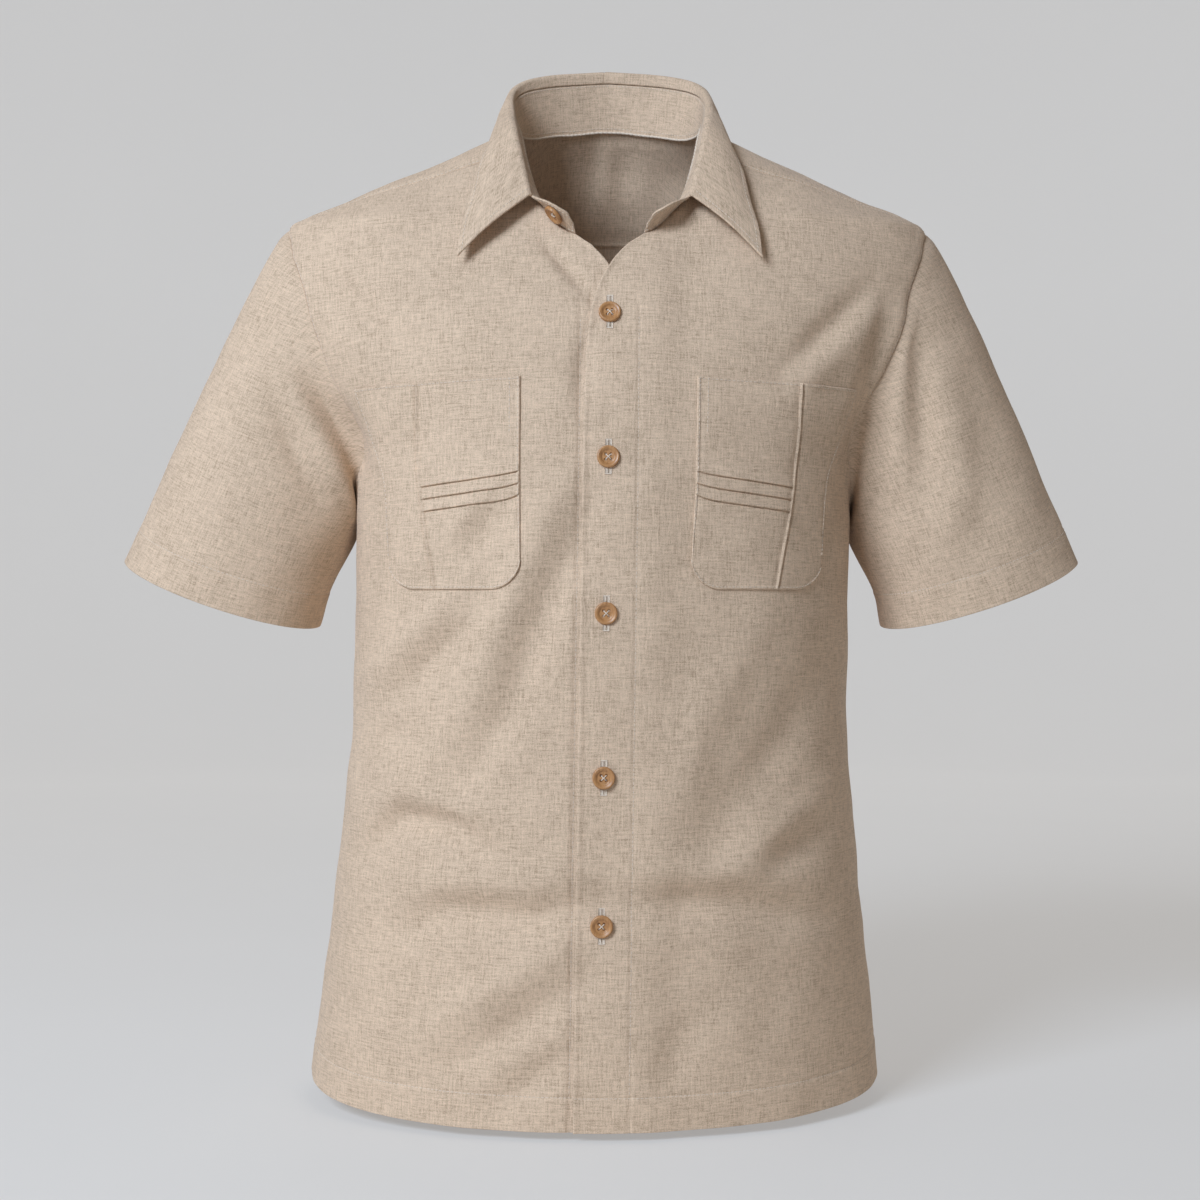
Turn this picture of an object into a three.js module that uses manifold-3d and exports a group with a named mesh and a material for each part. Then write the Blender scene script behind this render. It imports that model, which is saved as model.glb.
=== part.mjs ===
// Safari shirt jacket with short sleeves, in the hollow form it has when it is worn.
// Millimetres, +Z up, the front faces -Y, +X is the wearer's left.
// The origin is the centre of the neck opening, level with the shoulder tops.
import * as THREE from 'three';
import { mergeVertices } from 'three/addons/utils/BufferGeometryUtils.js';
import Module from 'manifold-3d';

// Cloth thickness, seam gap and the small lean of the hanging body
const WALL = 1.2;
const COLLAR_WALL = 1.4;
const GAP = 0.3;
const LAY = 1.2;
const SWAY = 0.0152;

// Body sections from the neck down: half width, depth to the front, depth to the back,
// and how square the oval is (2 is an ellipse)
const BODY_SECTIONS = [
  { z: 24, half: 44, front: 34, back: 60, square: 2 },
  { z: 18, half: 50, front: 38, back: 66, square: 2 },
  { z: 10, half: 60, front: 41, back: 73, square: 2 },
  { z: 0, half: 78, front: 44, back: 81, square: 2 },
  { z: -12, half: 104.5, front: 49, back: 88, square: 2 },
  { z: -31, half: 147, front: 57, back: 95, square: 2 },
  { z: -50, half: 190, front: 65, back: 102, square: 2.1 },
  { z: -63, half: 218.5, front: 71.5, back: 107, square: 2.15 },
  { z: -70, half: 231.5, front: 76, back: 109, square: 2.2 },
  { z: -82, half: 239, front: 82, back: 112, square: 2.2 },
  { z: -100, half: 245, front: 92, back: 117, square: 2.2 },
  { z: -137, half: 240.5, front: 109, back: 123, square: 2.2 },
  { z: -175, half: 223.5, front: 122, back: 127, square: 2.2 },
  { z: -208, half: 202, front: 130, back: 128, square: 2.2 },
  { z: -239, half: 186, front: 135, back: 127, square: 2.2 },
  { z: -275, half: 181, front: 139, back: 126, square: 2.2 },
  { z: -350, half: 181, front: 141, back: 121, square: 2.2 },
  { z: -417, half: 181, front: 142, back: 119, square: 2.15 },
  { z: -476, half: 185.7, front: 142, back: 120, square: 2.15 },
  { z: -565, half: 193.9, front: 145, back: 124, square: 2.1 },
  { z: -654, half: 204.2, front: 148, back: 131, square: 2.1 },
  { z: -705, half: 209.5, front: 150, back: 137, square: 2.1 },
];

// Neck opening, seen from above
const NECK_HALF = 68;
const NECK_CENTRE_Y = 5;
const NECK_FRONT = 92;
const NECK_SQUARE = 2.6;
const NECK_BACK = 61;
const NECK_CORNER = 20;
const NECK_SHOULDER = 60;
const NECK_BACK_CORNER = 105;

// Armhole, seen from the side
const ARMHOLE_CENTRE_Z = -172.5;
const ARMHOLE_HALF_HEIGHT = 102.5;
const ARMHOLE_Y = 6;
const ARMHOLE_FRONT = 66;
const ARMHOLE_BACK = 60;
const ARMHOLE_STEP = 15;
const BACK_CORNER_STEPS = -3;

// Panels: seams, hem and grid
const YOKE_SEAM_CENTRE_Z = -62;
const HEM_FRONT_Z = -698;
const HEM_SIDE_Z = -686;
const HEM_BACK_Z = -692;
const FRONT_COLUMNS = 12;
const BACK_COLUMNS = 20;
const SKIRT_ROWS = 17;
const ARM_ROWS_FRONT = 11;
const ARM_ROWS_BACK = 9;
const NECK_ROWS = 3;
const ROW_CURVE = 1.3;

// Front edge: how far it passes the centre line at each height, and the upper row heights
const LAP = 17;
const LAP_COLUMNS = 2;
const FRONT_EDGE = [
  { z: -90, x: 19 },
  { z: -97, x: 11.5 },
  { z: -111.4, x: 0 },
  { z: -129.6, x: -9 },
  { z: -149, x: -13.4 },
  { z: -175, x: -16 },
  { z: -210, x: -LAP },
  { z: -720, x: -LAP },
];
const FRONT_EDGE_ROWS = [-95, -106, -121, -143, -172, -208, -246, -284];
const LAP_LIFT = { height: WALL + 0.8, zStart: -88, zFull: -106, xFull: 30, xEnd: 56 };

// Main folds: soft troughs (depth above 0) and ridges (below 0) along a line on one face,
// with this share of their depth left at the ends
const FOLD_END = 0.35;
const FOLDS = [
  { face: -1, x1: -50, z1: -336, x2: -120, z2: -462, depth: 5, width: 14 },
  { face: -1, x1: -106, z1: -343, x2: -157, z2: -408, depth: 4, width: 12 },
  { face: -1, x1: -142, z1: -489, x2: -80, z2: -504, depth: 3, width: 12 },
  { face: -1, x1: -36, z1: -580, x2: -109, z2: -656, depth: 5, width: 14 },
  { face: -1, x1: -139, z1: -570, x2: -75, z2: -523, depth: 3, width: 12 },
  { face: -1, x1: 180, z1: -136, x2: 121, z2: -176, depth: 4, width: 13 },
  { face: -1, x1: 156, z1: -343, x2: 50, z2: -498, depth: 5, width: 16 },
  { face: -1, x1: 170, z1: -464, x2: 110, z2: -526, depth: 5, width: 13 },
  { face: 1, x1: -150, z1: -330, x2: -40, z2: -440, depth: 5, width: 16 },
  { face: 1, x1: 160, z1: -380, x2: 60, z2: -470, depth: 4, width: 15 },
  { face: 1, x1: 30, z1: -560, x2: 120, z2: -640, depth: 5, width: 16 },
  { face: 1, x1: -120, z1: -520, x2: -60, z2: -640, depth: 4, width: 15 },
  { face: -1, x1: -222, z1: -190, x2: -196, z2: -282, depth: 5, width: 11 },
  { face: -1, x1: 236, z1: -186, x2: 214, z2: -280, depth: 4, width: 12 },
  { face: -1, x1: -300, z1: -230, x2: -262, z2: -300, depth: 3, width: 13 },
  { face: 1, x1: 226, z1: -180, x2: 208, z2: -270, depth: 5, width: 12 },
  { face: 1, x1: -226, z1: -176, x2: -208, z2: -276, depth: 4, width: 12 },
];

// Sleeve: the cuff is a tilted oval, and the cloth leaves the armhole and meets the cuff
// along these directions
const CUFF = {
  centre: [279.4, 2, -337.5],
  across: [72.2, 0, 24.5],
  toFront: [0, -58.6, -10.5],
};
const SLEEVE_RINGS = 12;
const SLEEVE_SIDES = 24;
const SLEEVE_LEAVE = { x: 60, y: 22, z: -9.5, zTop: -19.5 };
const SLEEVE_MEET = { x: 72.5, xTop: 42.5, z: -186, zTop: -76 };

// Collar by the angle round the neck: roll line, free edge of the fall, and the share of
// the height that is stand
const COLLAR_ROLL = [
  { psi: 40, x: 56.5, y: -81, z: -60.5, rise: 0.9 },
  { psi: 50, x: 62, y: -66, z: -35, rise: 0.84 },
  { psi: 60, x: 67.5, y: -47, z: -9, rise: 0.8 },
  { psi: 75, x: 71.5, y: -13, z: 14, rise: 0.79 },
  { psi: 90, x: 73, y: 9, z: 30, rise: 0.79 },
  { psi: 110, x: 71.5, y: 31, z: 43, rise: 0.79 },
  { psi: 125, x: 64, y: 47, z: 53, rise: 0.79 },
  { psi: 150, x: 38, y: 60, z: 61, rise: 0.79 },
  { psi: 180, x: 0, y: 66, z: 65, rise: 0.79 },
];
const COLLAR_TAB = [
  { psi: 20, x: 25.5, y: -89, z: -80.5 },
  { psi: 24, x: 30, y: -96, z: -75.5 },
  { psi: 29, x: 37, y: -97, z: -71.5 },
  { psi: 34, x: 43, y: -95, z: -68 },
  { psi: 40, x: 55.6, y: -80, z: -60.9 },
];
const COLLAR_EDGE = [
  { psi: 40, x: 106, y: -98, z: -105 },
  { psi: 46, x: 104.5, y: -88, z: -86 },
  { psi: 52, x: 99, y: -73, z: -61 },
  { psi: 60, x: 95, y: -57, z: -37 },
  { psi: 68, x: 89, y: -43, z: -19 },
  { psi: 76, x: 85.5, y: -23, z: -5 },
  { psi: 90, x: 83.5, y: 8, z: 2 },
  { psi: 110, x: 79, y: 36, z: 3 },
  { psi: 125, x: 72, y: 56, z: -1 },
  { psi: 150, x: 40, y: 72, z: 5 },
  { psi: 180, x: 0, y: 78, z: 12 },
];
const COLLAR_END = 40;
const STAND_ROWS = 3;
const STAND_LIFT = 0.2;
const ROLL_RADIUS = 3.6;
const ROLL_STEPS = 3;
const LEG_STEPS = 3;
const LEG_BOW = 2.5;

// Chest pocket: edges by height, the raised upright seam and three tucks beside it
const POCKET_EDGES = [
  { z: -191, inner: 60, seam: 133, outer: 177 },
  { z: -225, inner: 59.5, seam: 132, outer: 166 },
  { z: -262, inner: 59, seam: 129, outer: 155 },
  { z: -300, inner: 58, seam: 123, outer: 152 },
  { z: -340, inner: 57, seam: 116, outer: 150 },
];
const POCKET = {
  top: -191,
  bottom: -336,
  outerDrop: 4,
  corner: 20,
  cornerInset: 19.9,
  thick: 1.2,
  seamRib: 0.9,
};
const POCKET_COLUMNS = {
  center: [0, 0.05, 0.15, 0.3, 0.5, 0.7, 0.85, 0.97, 1],
  side: [0, 0.08, 0.22, 0.4, 0.6, 0.8, 1],
};
const TUCKS = { count: 3, first: -257, spacing: 8.7, height: 1, flank: 1.6, slope: 0.1 };

// Buttons: rim, dish and four holes
const BUTTON_HEIGHTS = [-147, -247, -352, -462, -561];
const BUTTON = { radius: 7.65, thick: 3.2, sides: 14, hole: 0.95, holeOffset: 1.7 };
const COLLAR_BUTTON_PSI = 31;
const COLLAR_BUTTON_RISE = 0.5;
const COLLAR_BUTTON_CLEAR = 0.7;

const linen = { color: 0xcbbfa9, roughness: 0.92, metalness: 0 };
const amber = { color: 0xa9713a, roughness: 0.35, metalness: 0 };

const wasm = await Module();
wasm.setup();

const radians = THREE.MathUtils.degToRad;
const ease = (value, from, to) => THREE.MathUtils.smoothstep((value - from) / (to - from), 0, 1);
const mix = THREE.MathUtils.lerp;

// Smooth curve through one column of a table, with no overshoot between its rows
function curveOf(rows, key, column) {
  const at = rows.map((row) => row[key]);
  const value = rows.map((row) => row[column]);
  const slope = at.slice(1).map((x, i) => (value[i + 1] - value[i]) / (x - at[i]));
  const last = slope.length - 1;
  const lean = at.map((x, i) => {
    if (i === 0) return slope[0];
    if (i > last) return slope[last];
    const product = slope[i - 1] * slope[i];
    return product > 0 ? (2 * product) / (slope[i - 1] + slope[i]) : 0;
  });
  const downward = at[0] > at[at.length - 1];
  return (x) => {
    let i = 0;
    while (i < last && (downward ? x < at[i + 1] : x > at[i + 1])) i += 1;
    const span = at[i + 1] - at[i];
    const t = THREE.MathUtils.clamp((x - at[i]) / span, 0, 1);
    const u = 1 - t;
    return (
      value[i] * u * u * (1 + 2 * t) +
      value[i + 1] * t * t * (3 - 2 * t) +
      lean[i] * span * t * u * u -
      lean[i + 1] * span * t * t * u
    );
  };
}

const halfAt = curveOf(BODY_SECTIONS, 'z', 'half');
const frontAt = curveOf(BODY_SECTIONS, 'z', 'front');
const backAt = curveOf(BODY_SECTIONS, 'z', 'back');
const squareAt = curveOf(BODY_SECTIONS, 'z', 'square');
const frontEdgeAt = curveOf(FRONT_EDGE, 'z', 'x');

// Point of the body oval at an angle from the front (0) round the wearer's left (90 degrees)
function bodyPoint(theta, z) {
  const s = Math.sin(theta);
  const c = Math.cos(theta);
  const n = squareAt(z);
  const r = (Math.abs(s) ** n + Math.abs(c) ** n) ** (-1 / n);
  const depth = c > 0 ? frontAt(z) : backAt(z);
  return new THREE.Vector3(halfAt(z) * s * r, -depth * c * r, z);
}

// Angle on the oval at height z where it has this y, or this x on the front
function thetaOfY(y, z) {
  const n = squareAt(z);
  const q = Math.min(1, Math.abs(y) / (y < 0 ? frontAt(z) : backAt(z)));
  const angle = Math.atan2((1 - q ** n) ** (1 / n), q);
  return y < 0 ? angle : Math.PI - angle;
}
function thetaOfX(x, z) {
  const n = squareAt(z);
  const p = Math.min(1, Math.abs(x) / halfAt(z));
  return Math.sign(x) * Math.atan2(p, (1 - p ** n) ** (1 / n));
}

// Height at which the body oval passes through the plan point x, y, found by halving
function heightOf(x, y) {
  let high = 24;
  let low = -200;
  for (let step = 0; step < 40; step += 1) {
    const z = (high + low) / 2;
    const n = squareAt(z);
    const depth = y < 0 ? frontAt(z) : backAt(z);
    const size = (Math.abs(x) / halfAt(z)) ** n + (Math.abs(y) / depth) ** n;
    if (size > 1) high = z;
    else low = z;
  }
  return (high + low) / 2;
}

// Outward unit normal of a surface of two parameters, from small steps on it
function normalOf(surface, a, b, stepA, stepB) {
  const alongA = surface(a + stepA, b).sub(surface(a - stepA, b));
  const alongB = surface(a, b + stepB).sub(surface(a, b - stepB));
  return alongA.cross(alongB).normalize();
}

const bodyNormal = (theta, z) => normalOf(bodyPoint, theta, z, 0.01, 1);

// Depth of all folds at a point with this normal, faded out round the sides
function foldDepth(point, normal) {
  let depth = 0;
  for (const fold of FOLDS) {
    const facing = ease(normal.y * fold.face, 0, 0.4);
    const dx = fold.x2 - fold.x1;
    const dz = fold.z2 - fold.z1;
    const along = ((point.x - fold.x1) * dx + (point.z - fold.z1) * dz) / (dx * dx + dz * dz);
    const t = THREE.MathUtils.clamp(along, 0, 1);
    const offset = Math.hypot(point.x - fold.x1 - dx * t, point.z - fold.z1 - dz * t);
    const across = Math.exp(-((offset / fold.width) ** 2) / 2);
    depth += facing * fold.depth * across * mix(FOLD_END, 1, Math.sin(Math.PI * t));
  }
  return depth;
}

// Outer and inner point of the body's cloth; lift moves both out
function cloth(theta, z, lift = 0) {
  const base = bodyPoint(theta, z);
  const normal = bodyNormal(theta, z);
  const outer = base.clone().addScaledVector(normal, lift - foldDepth(base, normal));
  return { outer, inner: outer.clone().addScaledVector(normal, -WALL), normal };
}

// Neckline and armhole points, as the angle and height of a body point
function neckline(psiDegrees) {
  const s = Math.sin(radians(psiDegrees));
  const c = Math.cos(radians(psiDegrees));
  const n = c > 0 ? NECK_SQUARE : 2;
  const r = (Math.abs(s) ** n + Math.abs(c) ** n) ** (-1 / n);
  const x = NECK_HALF * s * r;
  const y = NECK_CENTRE_Y - (c > 0 ? NECK_FRONT : NECK_BACK) * c * r;
  const z = heightOf(x, y);
  const angle = thetaOfY(y, z);
  return { theta: x < 0 ? 2 * Math.PI - angle : angle, z };
}
function armhole(step) {
  const phi = radians(step * ARMHOLE_STEP);
  const z = ARMHOLE_CENTRE_Z + ARMHOLE_HALF_HEIGHT * Math.cos(phi);
  const reach = Math.sin(phi) > 0 ? ARMHOLE_FRONT : ARMHOLE_BACK;
  return { theta: thetaOfY(ARMHOLE_Y - reach * Math.sin(phi), z), z };
}

// Hollow wall from grids of outer and inner points; ring joins the last column to the first
function wallGeometry(outer, inner, ring = false) {
  const rows = outer.length;
  const columns = outer[0].length;
  const points = [...outer.flat(), ...inner.flat()];
  const half = rows * columns;
  const index = [];
  const quad = (a, b, c, d) => index.push(a, b, c, a, c, d);
  const id = (row, column) => row * columns + (column % columns);
  const lastColumn = ring ? columns : columns - 1;
  for (let row = 0; row < rows - 1; row += 1) {
    for (let column = 0; column < lastColumn; column += 1) {
      const a = id(row, column);
      const b = id(row, column + 1);
      const c = id(row + 1, column + 1);
      const d = id(row + 1, column);
      quad(a, b, c, d);
      index.push(half + a, half + c, half + b, half + a, half + d, half + c);
    }
  }
  for (let column = 0; column < lastColumn; column += 1) {
    const top = [id(0, column), id(0, column + 1)];
    const bottom = [id(rows - 1, column), id(rows - 1, column + 1)];
    quad(top[1], top[0], half + top[0], half + top[1]);
    quad(bottom[0], bottom[1], half + bottom[1], half + bottom[0]);
  }
  if (!ring) {
    for (let row = 0; row < rows - 1; row += 1) {
      const left = [id(row, 0), id(row + 1, 0)];
      const right = [id(row, columns - 1), id(row + 1, columns - 1)];
      quad(left[0], left[1], half + left[1], half + left[0]);
      quad(right[1], right[0], half + right[0], half + right[1]);
    }
  }
  return facingOut(points, index);
}

// Geometry with its faces turned out, and the sway of the hanging garment
function facingOut(points, index) {
  let volume = 0;
  for (let i = 0; i < index.length; i += 3) {
    const [a, b, c] = [points[index[i]], points[index[i + 1]], points[index[i + 2]]];
    volume += a.dot(b.clone().cross(c));
  }
  const faces = volume > 0 ? index : [...index].reverse();
  const swayed = points.flatMap((point) => [point.x + SWAY * point.z, point.y, point.z]);
  const geometry = new THREE.BufferGeometry();
  geometry.setAttribute('position', new THREE.Float32BufferAttribute(swayed, 3));
  geometry.setIndex(faces);
  geometry.computeVertexNormals();
  return geometry;
}

// Panel of the body: the outer and inner grids of a grid of angle and height, with each
// edge drawn back by half the seam gap
function panel(grid) {
  const cells = grid.map((row) => row.map(({ theta, z, lift }) => cloth(theta, z, lift)));
  const rows = cells.length;
  const columns = cells[0].length;
  const outer = cells.map((row) => row.map((cell) => cell.outer.clone()));
  const inner = cells.map((row) => row.map((cell) => cell.inner.clone()));
  const drawBack = (row, column, towardRow, towardColumn) => {
    const from = cells[row][column].outer;
    const step = cells[towardRow][towardColumn].outer.clone().sub(from).setLength(GAP / 2);
    outer[row][column].add(step);
    inner[row][column].add(step);
  };
  for (let row = 0; row < rows; row += 1) {
    drawBack(row, 0, row, 1);
    drawBack(row, columns - 1, row, columns - 2);
  }
  for (let column = 0; column < columns; column += 1) {
    drawBack(0, column, 1, column);
    drawBack(rows - 1, column, rows - 2, column);
  }
  return { outer, inner };
}

// Grid of a front: neckline and lapped edge on one side, armhole and side seam on the other
function frontGrid(side) {
  const rows = ARM_ROWS_FRONT + SKIRT_ROWS;
  const grid = [];
  for (let row = 0; row <= rows; row += 1) {
    const edge = frontEdgePoint(row);
    const far = sidePoint(row - ARM_ROWS_FRONT, row + 1, HEM_SIDE_Z);
    const settled = Math.min(1, row / (NECK_ROWS + 2));
    const lapX = bodyPoint(edge.theta, edge.z).x + 2 * LAP;
    const lapShare = (thetaOfX(lapX, edge.z) - edge.theta) / (far.theta - edge.theta);
    const power = 1 + ROW_CURVE * (row / rows);
    const line = [];
    for (let column = 0; column <= FRONT_COLUMNS; column += 1) {
      const even = column / FRONT_COLUMNS;
      const pastLap = Math.max(0, (column - LAP_COLUMNS) / (FRONT_COLUMNS - LAP_COLUMNS));
      const onLap = Math.min(1, column / LAP_COLUMNS);
      const share = mix(even, lapShare * onLap + (1 - lapShare) * pastLap, settled);
      const z = mix(edge.z, far.z, mix(even, pastLap ** power, settled));
      const theta = mix(edge.theta, far.theta, share);
      line.push({ theta: side * theta, z, lift: side > 0 ? lapLift(theta, z) : 0 });
    }
    grid.push(line);
  }
  return grid;
}
function frontEdgePoint(row) {
  if (row <= NECK_ROWS) {
    return neckline(mix(NECK_SHOULDER, NECK_CORNER, row / NECK_ROWS));
  }
  const upper = FRONT_EDGE_ROWS.length;
  const k = row - NECK_ROWS - 1;
  const below = (k - upper + 1) / (ARM_ROWS_FRONT + SKIRT_ROWS - NECK_ROWS - upper);
  const z = k < upper ? FRONT_EDGE_ROWS[k] : mix(FRONT_EDGE_ROWS[upper - 1], HEM_FRONT_Z, below);
  return { theta: thetaOfX(frontEdgeAt(z), z), z };
}
function sidePoint(skirtRow, armStep, hemZ) {
  if (skirtRow <= 0) return armhole(armStep);
  const top = armhole(12);
  const t = skirtRow / SKIRT_ROWS;
  return { theta: mix(top.theta, Math.PI / 2, Math.min(1, 2 * t)), z: mix(top.z, hemZ, t) };
}

// The wearer's left front lies over the right one
function lapLift(theta, z) {
  const x = bodyPoint(theta, z).x;
  const down = ease(z, LAP_LIFT.zStart, LAP_LIFT.zFull);
  return LAP_LIFT.height * down * (1 - ease(x, LAP_LIFT.xFull, LAP_LIFT.xEnd));
}

// Grid of the back: yoke seam, two armholes, two side seams and hem
function backGrid() {
  const rows = ARM_ROWS_BACK + SKIRT_ROWS;
  const grid = [];
  for (let row = 0; row <= rows; row += 1) {
    const edge = sidePoint(row - ARM_ROWS_BACK, BACK_CORNER_STEPS - row, HEM_SIDE_Z);
    const centreZ = mix(YOKE_SEAM_CENTRE_Z, HEM_BACK_Z, row / rows);
    const line = [];
    for (let column = 0; column <= BACK_COLUMNS; column += 1) {
      const u = (2 * column) / BACK_COLUMNS - 1;
      const theta = Math.PI + u * (Math.PI - edge.theta);
      line.push({ theta, z: mix(centreZ, edge.z, u * u) });
    }
    grid.push(line);
  }
  return grid;
}

// Samples round the neckline, in degrees, at the corners of the panels' cells
function necklineSamples() {
  const between = (from, to, count) =>
    Array.from({ length: count }, (unused, i) => mix(from, to, i / count));
  const armColumns = 1 - BACK_CORNER_STEPS;
  const back = 360 - NECK_BACK_CORNER;
  const yoke = [
    ...between(NECK_SHOULDER, NECK_BACK_CORNER, armColumns),
    ...between(NECK_BACK_CORNER, back, BACK_COLUMNS),
    ...between(back, 360 - NECK_SHOULDER, armColumns),
    360 - NECK_SHOULDER,
  ];
  const leftFront = between(NECK_CORNER, NECK_SHOULDER, NECK_ROWS);
  const rightFront = leftFront.map((psi) => 360 - psi).reverse();
  return { yoke, all: [...leftFront, ...yoke, ...rightFront] };
}

// Grid of the yoke, from the neckline out to the armholes, the back seam and the fronts
function yokeGrid() {
  const samples = necklineSamples().yoke;
  const armColumns = 1 - BACK_CORNER_STEPS;
  const backRow = backGrid()[0];
  const outerEdge = samples.map((psi, i) => {
    const mirrored = samples.length - 1 - i;
    if (i < armColumns) return armhole(1 - i);
    if (mirrored < armColumns) {
      const point = armhole(1 - mirrored);
      return { theta: 2 * Math.PI - point.theta, z: point.z };
    }
    return backRow[i - armColumns];
  });
  const grid = [];
  for (let row = 0; row <= FRONT_COLUMNS; row += 1) {
    const t = row / FRONT_COLUMNS;
    grid.push(
      samples.map((psi, i) => {
        const neck = neckline(psi);
        const far = outerEdge[i];
        return { theta: mix(neck.theta, far.theta, t), z: mix(neck.z, far.z, t) };
      }),
    );
  }
  return grid;
}

// Sleeve: rings carried from the armhole to the cuff on cubic paths
function sleevePoint(side, angle, t) {
  const arm = armhole(angle / ARMHOLE_STEP);
  const start = bodyPoint(arm.theta, arm.z);
  const c = Math.cos(radians(angle));
  const s = Math.sin(radians(angle));
  const end = new THREE.Vector3(...CUFF.centre)
    .addScaledVector(new THREE.Vector3(...CUFF.across), c)
    .addScaledVector(new THREE.Vector3(...CUFF.toFront), s);
  const leave = new THREE.Vector3(
    SLEEVE_LEAVE.x,
    SLEEVE_LEAVE.y * s,
    SLEEVE_LEAVE.z + SLEEVE_LEAVE.zTop * c,
  );
  const meet = new THREE.Vector3(
    SLEEVE_MEET.x + SLEEVE_MEET.xTop * c,
    0,
    SLEEVE_MEET.z + SLEEVE_MEET.zTop * c,
  );
  const u = 1 - t;
  const point = start
    .multiplyScalar(u * u * (1 + 2 * t))
    .addScaledVector(end, t * t * (3 - 2 * t))
    .addScaledVector(leave, t * u * u)
    .addScaledVector(meet, -t * t * u);
  point.x *= side;
  return point;
}
function sleeve(side) {
  const outer = [];
  const inner = [];
  for (let ring = 0; ring <= SLEEVE_RINGS; ring += 1) {
    const t = ring / SLEEVE_RINGS;
    const cells = [];
    for (let k = 0; k < SLEEVE_SIDES; k += 1) {
      const angle = k * ARMHOLE_STEP;
      if (ring === 0) {
        cells.push(armholeStart(side, k));
      } else {
        const surface = (a, b) => sleevePoint(side, a, b);
        const base = surface(angle, t);
        const normal = normalOf(surface, angle, Math.min(t, 0.98), 1, side * 0.01);
        const point = base.clone().addScaledVector(normal, -foldDepth(base, normal));
        cells.push({ outer: point, inner: point.clone().addScaledVector(normal, -WALL) });
      }
    }
    outer.push(cells.map((cell) => cell.outer));
    inner.push(cells.map((cell) => cell.inner));
  }
  return wallGeometry(outer, inner, true);
}

// First ring of a sleeve: the armhole edge of the body's cloth, past the seam gap
function armholeStart(side, k) {
  const at = (step) => {
    const point = armhole(step);
    return cloth(side * point.theta, point.z);
  };
  const here = at(k);
  const middle = bodyPoint((side * Math.PI) / 2, ARMHOLE_CENTRE_Z);
  const along = at(k + 0.2).outer.sub(at(k - 0.2).outer);
  const away = along.cross(here.normal).setLength(GAP / 2);
  if (away.dot(middle.sub(here.outer)) < 0) away.negate();
  return { outer: here.outer.add(away), inner: here.inner.add(away) };
}

// Point of a collar table at an angle, mirrored past the centre back
function tablePoint(rows) {
  const [x, y, z] = ['x', 'y', 'z'].map((column) => curveOf(rows, 'psi', column));
  return (psi) => {
    const fold = psi > 180 ? 360 - psi : psi;
    return new THREE.Vector3(psi > 180 ? -x(fold) : x(fold), y(fold), z(fold));
  };
}
const rollPoint = tablePoint(COLLAR_ROLL);
const tabPoint = tablePoint(COLLAR_TAB);
const edgePoint = tablePoint(COLLAR_EDGE);
const riseAt = curveOf(COLLAR_ROLL, 'psi', 'rise');

// Neck edge of the body's cloth between the panels' samples, and the stand above it
function neckEdge(psi) {
  const samples = necklineSamples().all;
  let i = 0;
  while (i < samples.length - 2 && psi > samples[i + 1]) i += 1;
  const t = (psi - samples[i]) / (samples[i + 1] - samples[i]);
  const [a, b] = [neckline(samples[i]), neckline(samples[i + 1])];
  const [from, to] = [cloth(a.theta, a.z), cloth(b.theta, b.z)];
  return {
    outer: from.outer.lerp(to.outer, t),
    inner: from.inner.lerp(to.inner, t),
    normal: from.normal.lerp(to.normal, t).normalize(),
  };
}
function standTop(psi) {
  const fold = psi > 180 ? 360 - psi : psi;
  if (fold < COLLAR_END) return tabPoint(psi);
  return neckEdge(psi).outer.lerp(rollPoint(psi), riseAt(fold));
}
function standPoint(psi, share) {
  return neckEdge(psi).outer.lerp(standTop(psi), share);
}
const standNormal = (psi, share) => normalOf(standPoint, psi, share, 0.5, 0.02);

// Columns of the collar, in degrees: the neckline's samples, closer together at the front
function collarColumns() {
  const samples = necklineSamples().all.filter((psi) => psi <= 180);
  const half = samples.slice(1).flatMap((psi, i) => {
    const parts = psi > NECK_BACK_CORNER + 1 ? 1 : psi < 50 ? 4 : 2;
    return Array.from({ length: parts }, (unused, k) => mix(samples[i], psi, k / parts));
  });
  return [...half, 180, ...half.map((psi) => 360 - psi).reverse()];
}

function collarStand() {
  const columns = collarColumns();
  const outer = [];
  const inner = [];
  for (let row = 0; row <= STAND_ROWS; row += 1) {
    const share = row / STAND_ROWS;
    const cells = columns.map((psi) => {
      if (row === 0) return neckStart(psi);
      const point = standPoint(psi, share);
      const safePsi = THREE.MathUtils.clamp(psi, NECK_CORNER + 1, 359 - NECK_CORNER);
      const normal = standNormal(safePsi, share);
      return { outer: point, inner: point.clone().addScaledVector(normal, -WALL) };
    });
    outer.push(cells.map((cell) => cell.outer));
    inner.push(cells.map((cell) => cell.inner));
  }
  return wallGeometry(outer, inner);
}

// Lower edge of the stand: the neck edge of the body's cloth, past the seam gap
function neckStart(psi) {
  const here = neckEdge(psi);
  const along = neckEdge(Math.min(psi + 0.5, 359)).outer.sub(neckEdge(psi - 0.5).outer);
  const away = along.cross(here.normal).setLength(GAP / 2);
  if (away.z < 0) away.negate();
  away.addScaledVector(here.normal, STAND_LIFT);
  return { outer: here.outer.add(away), inner: here.inner.add(away) };
}

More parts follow.
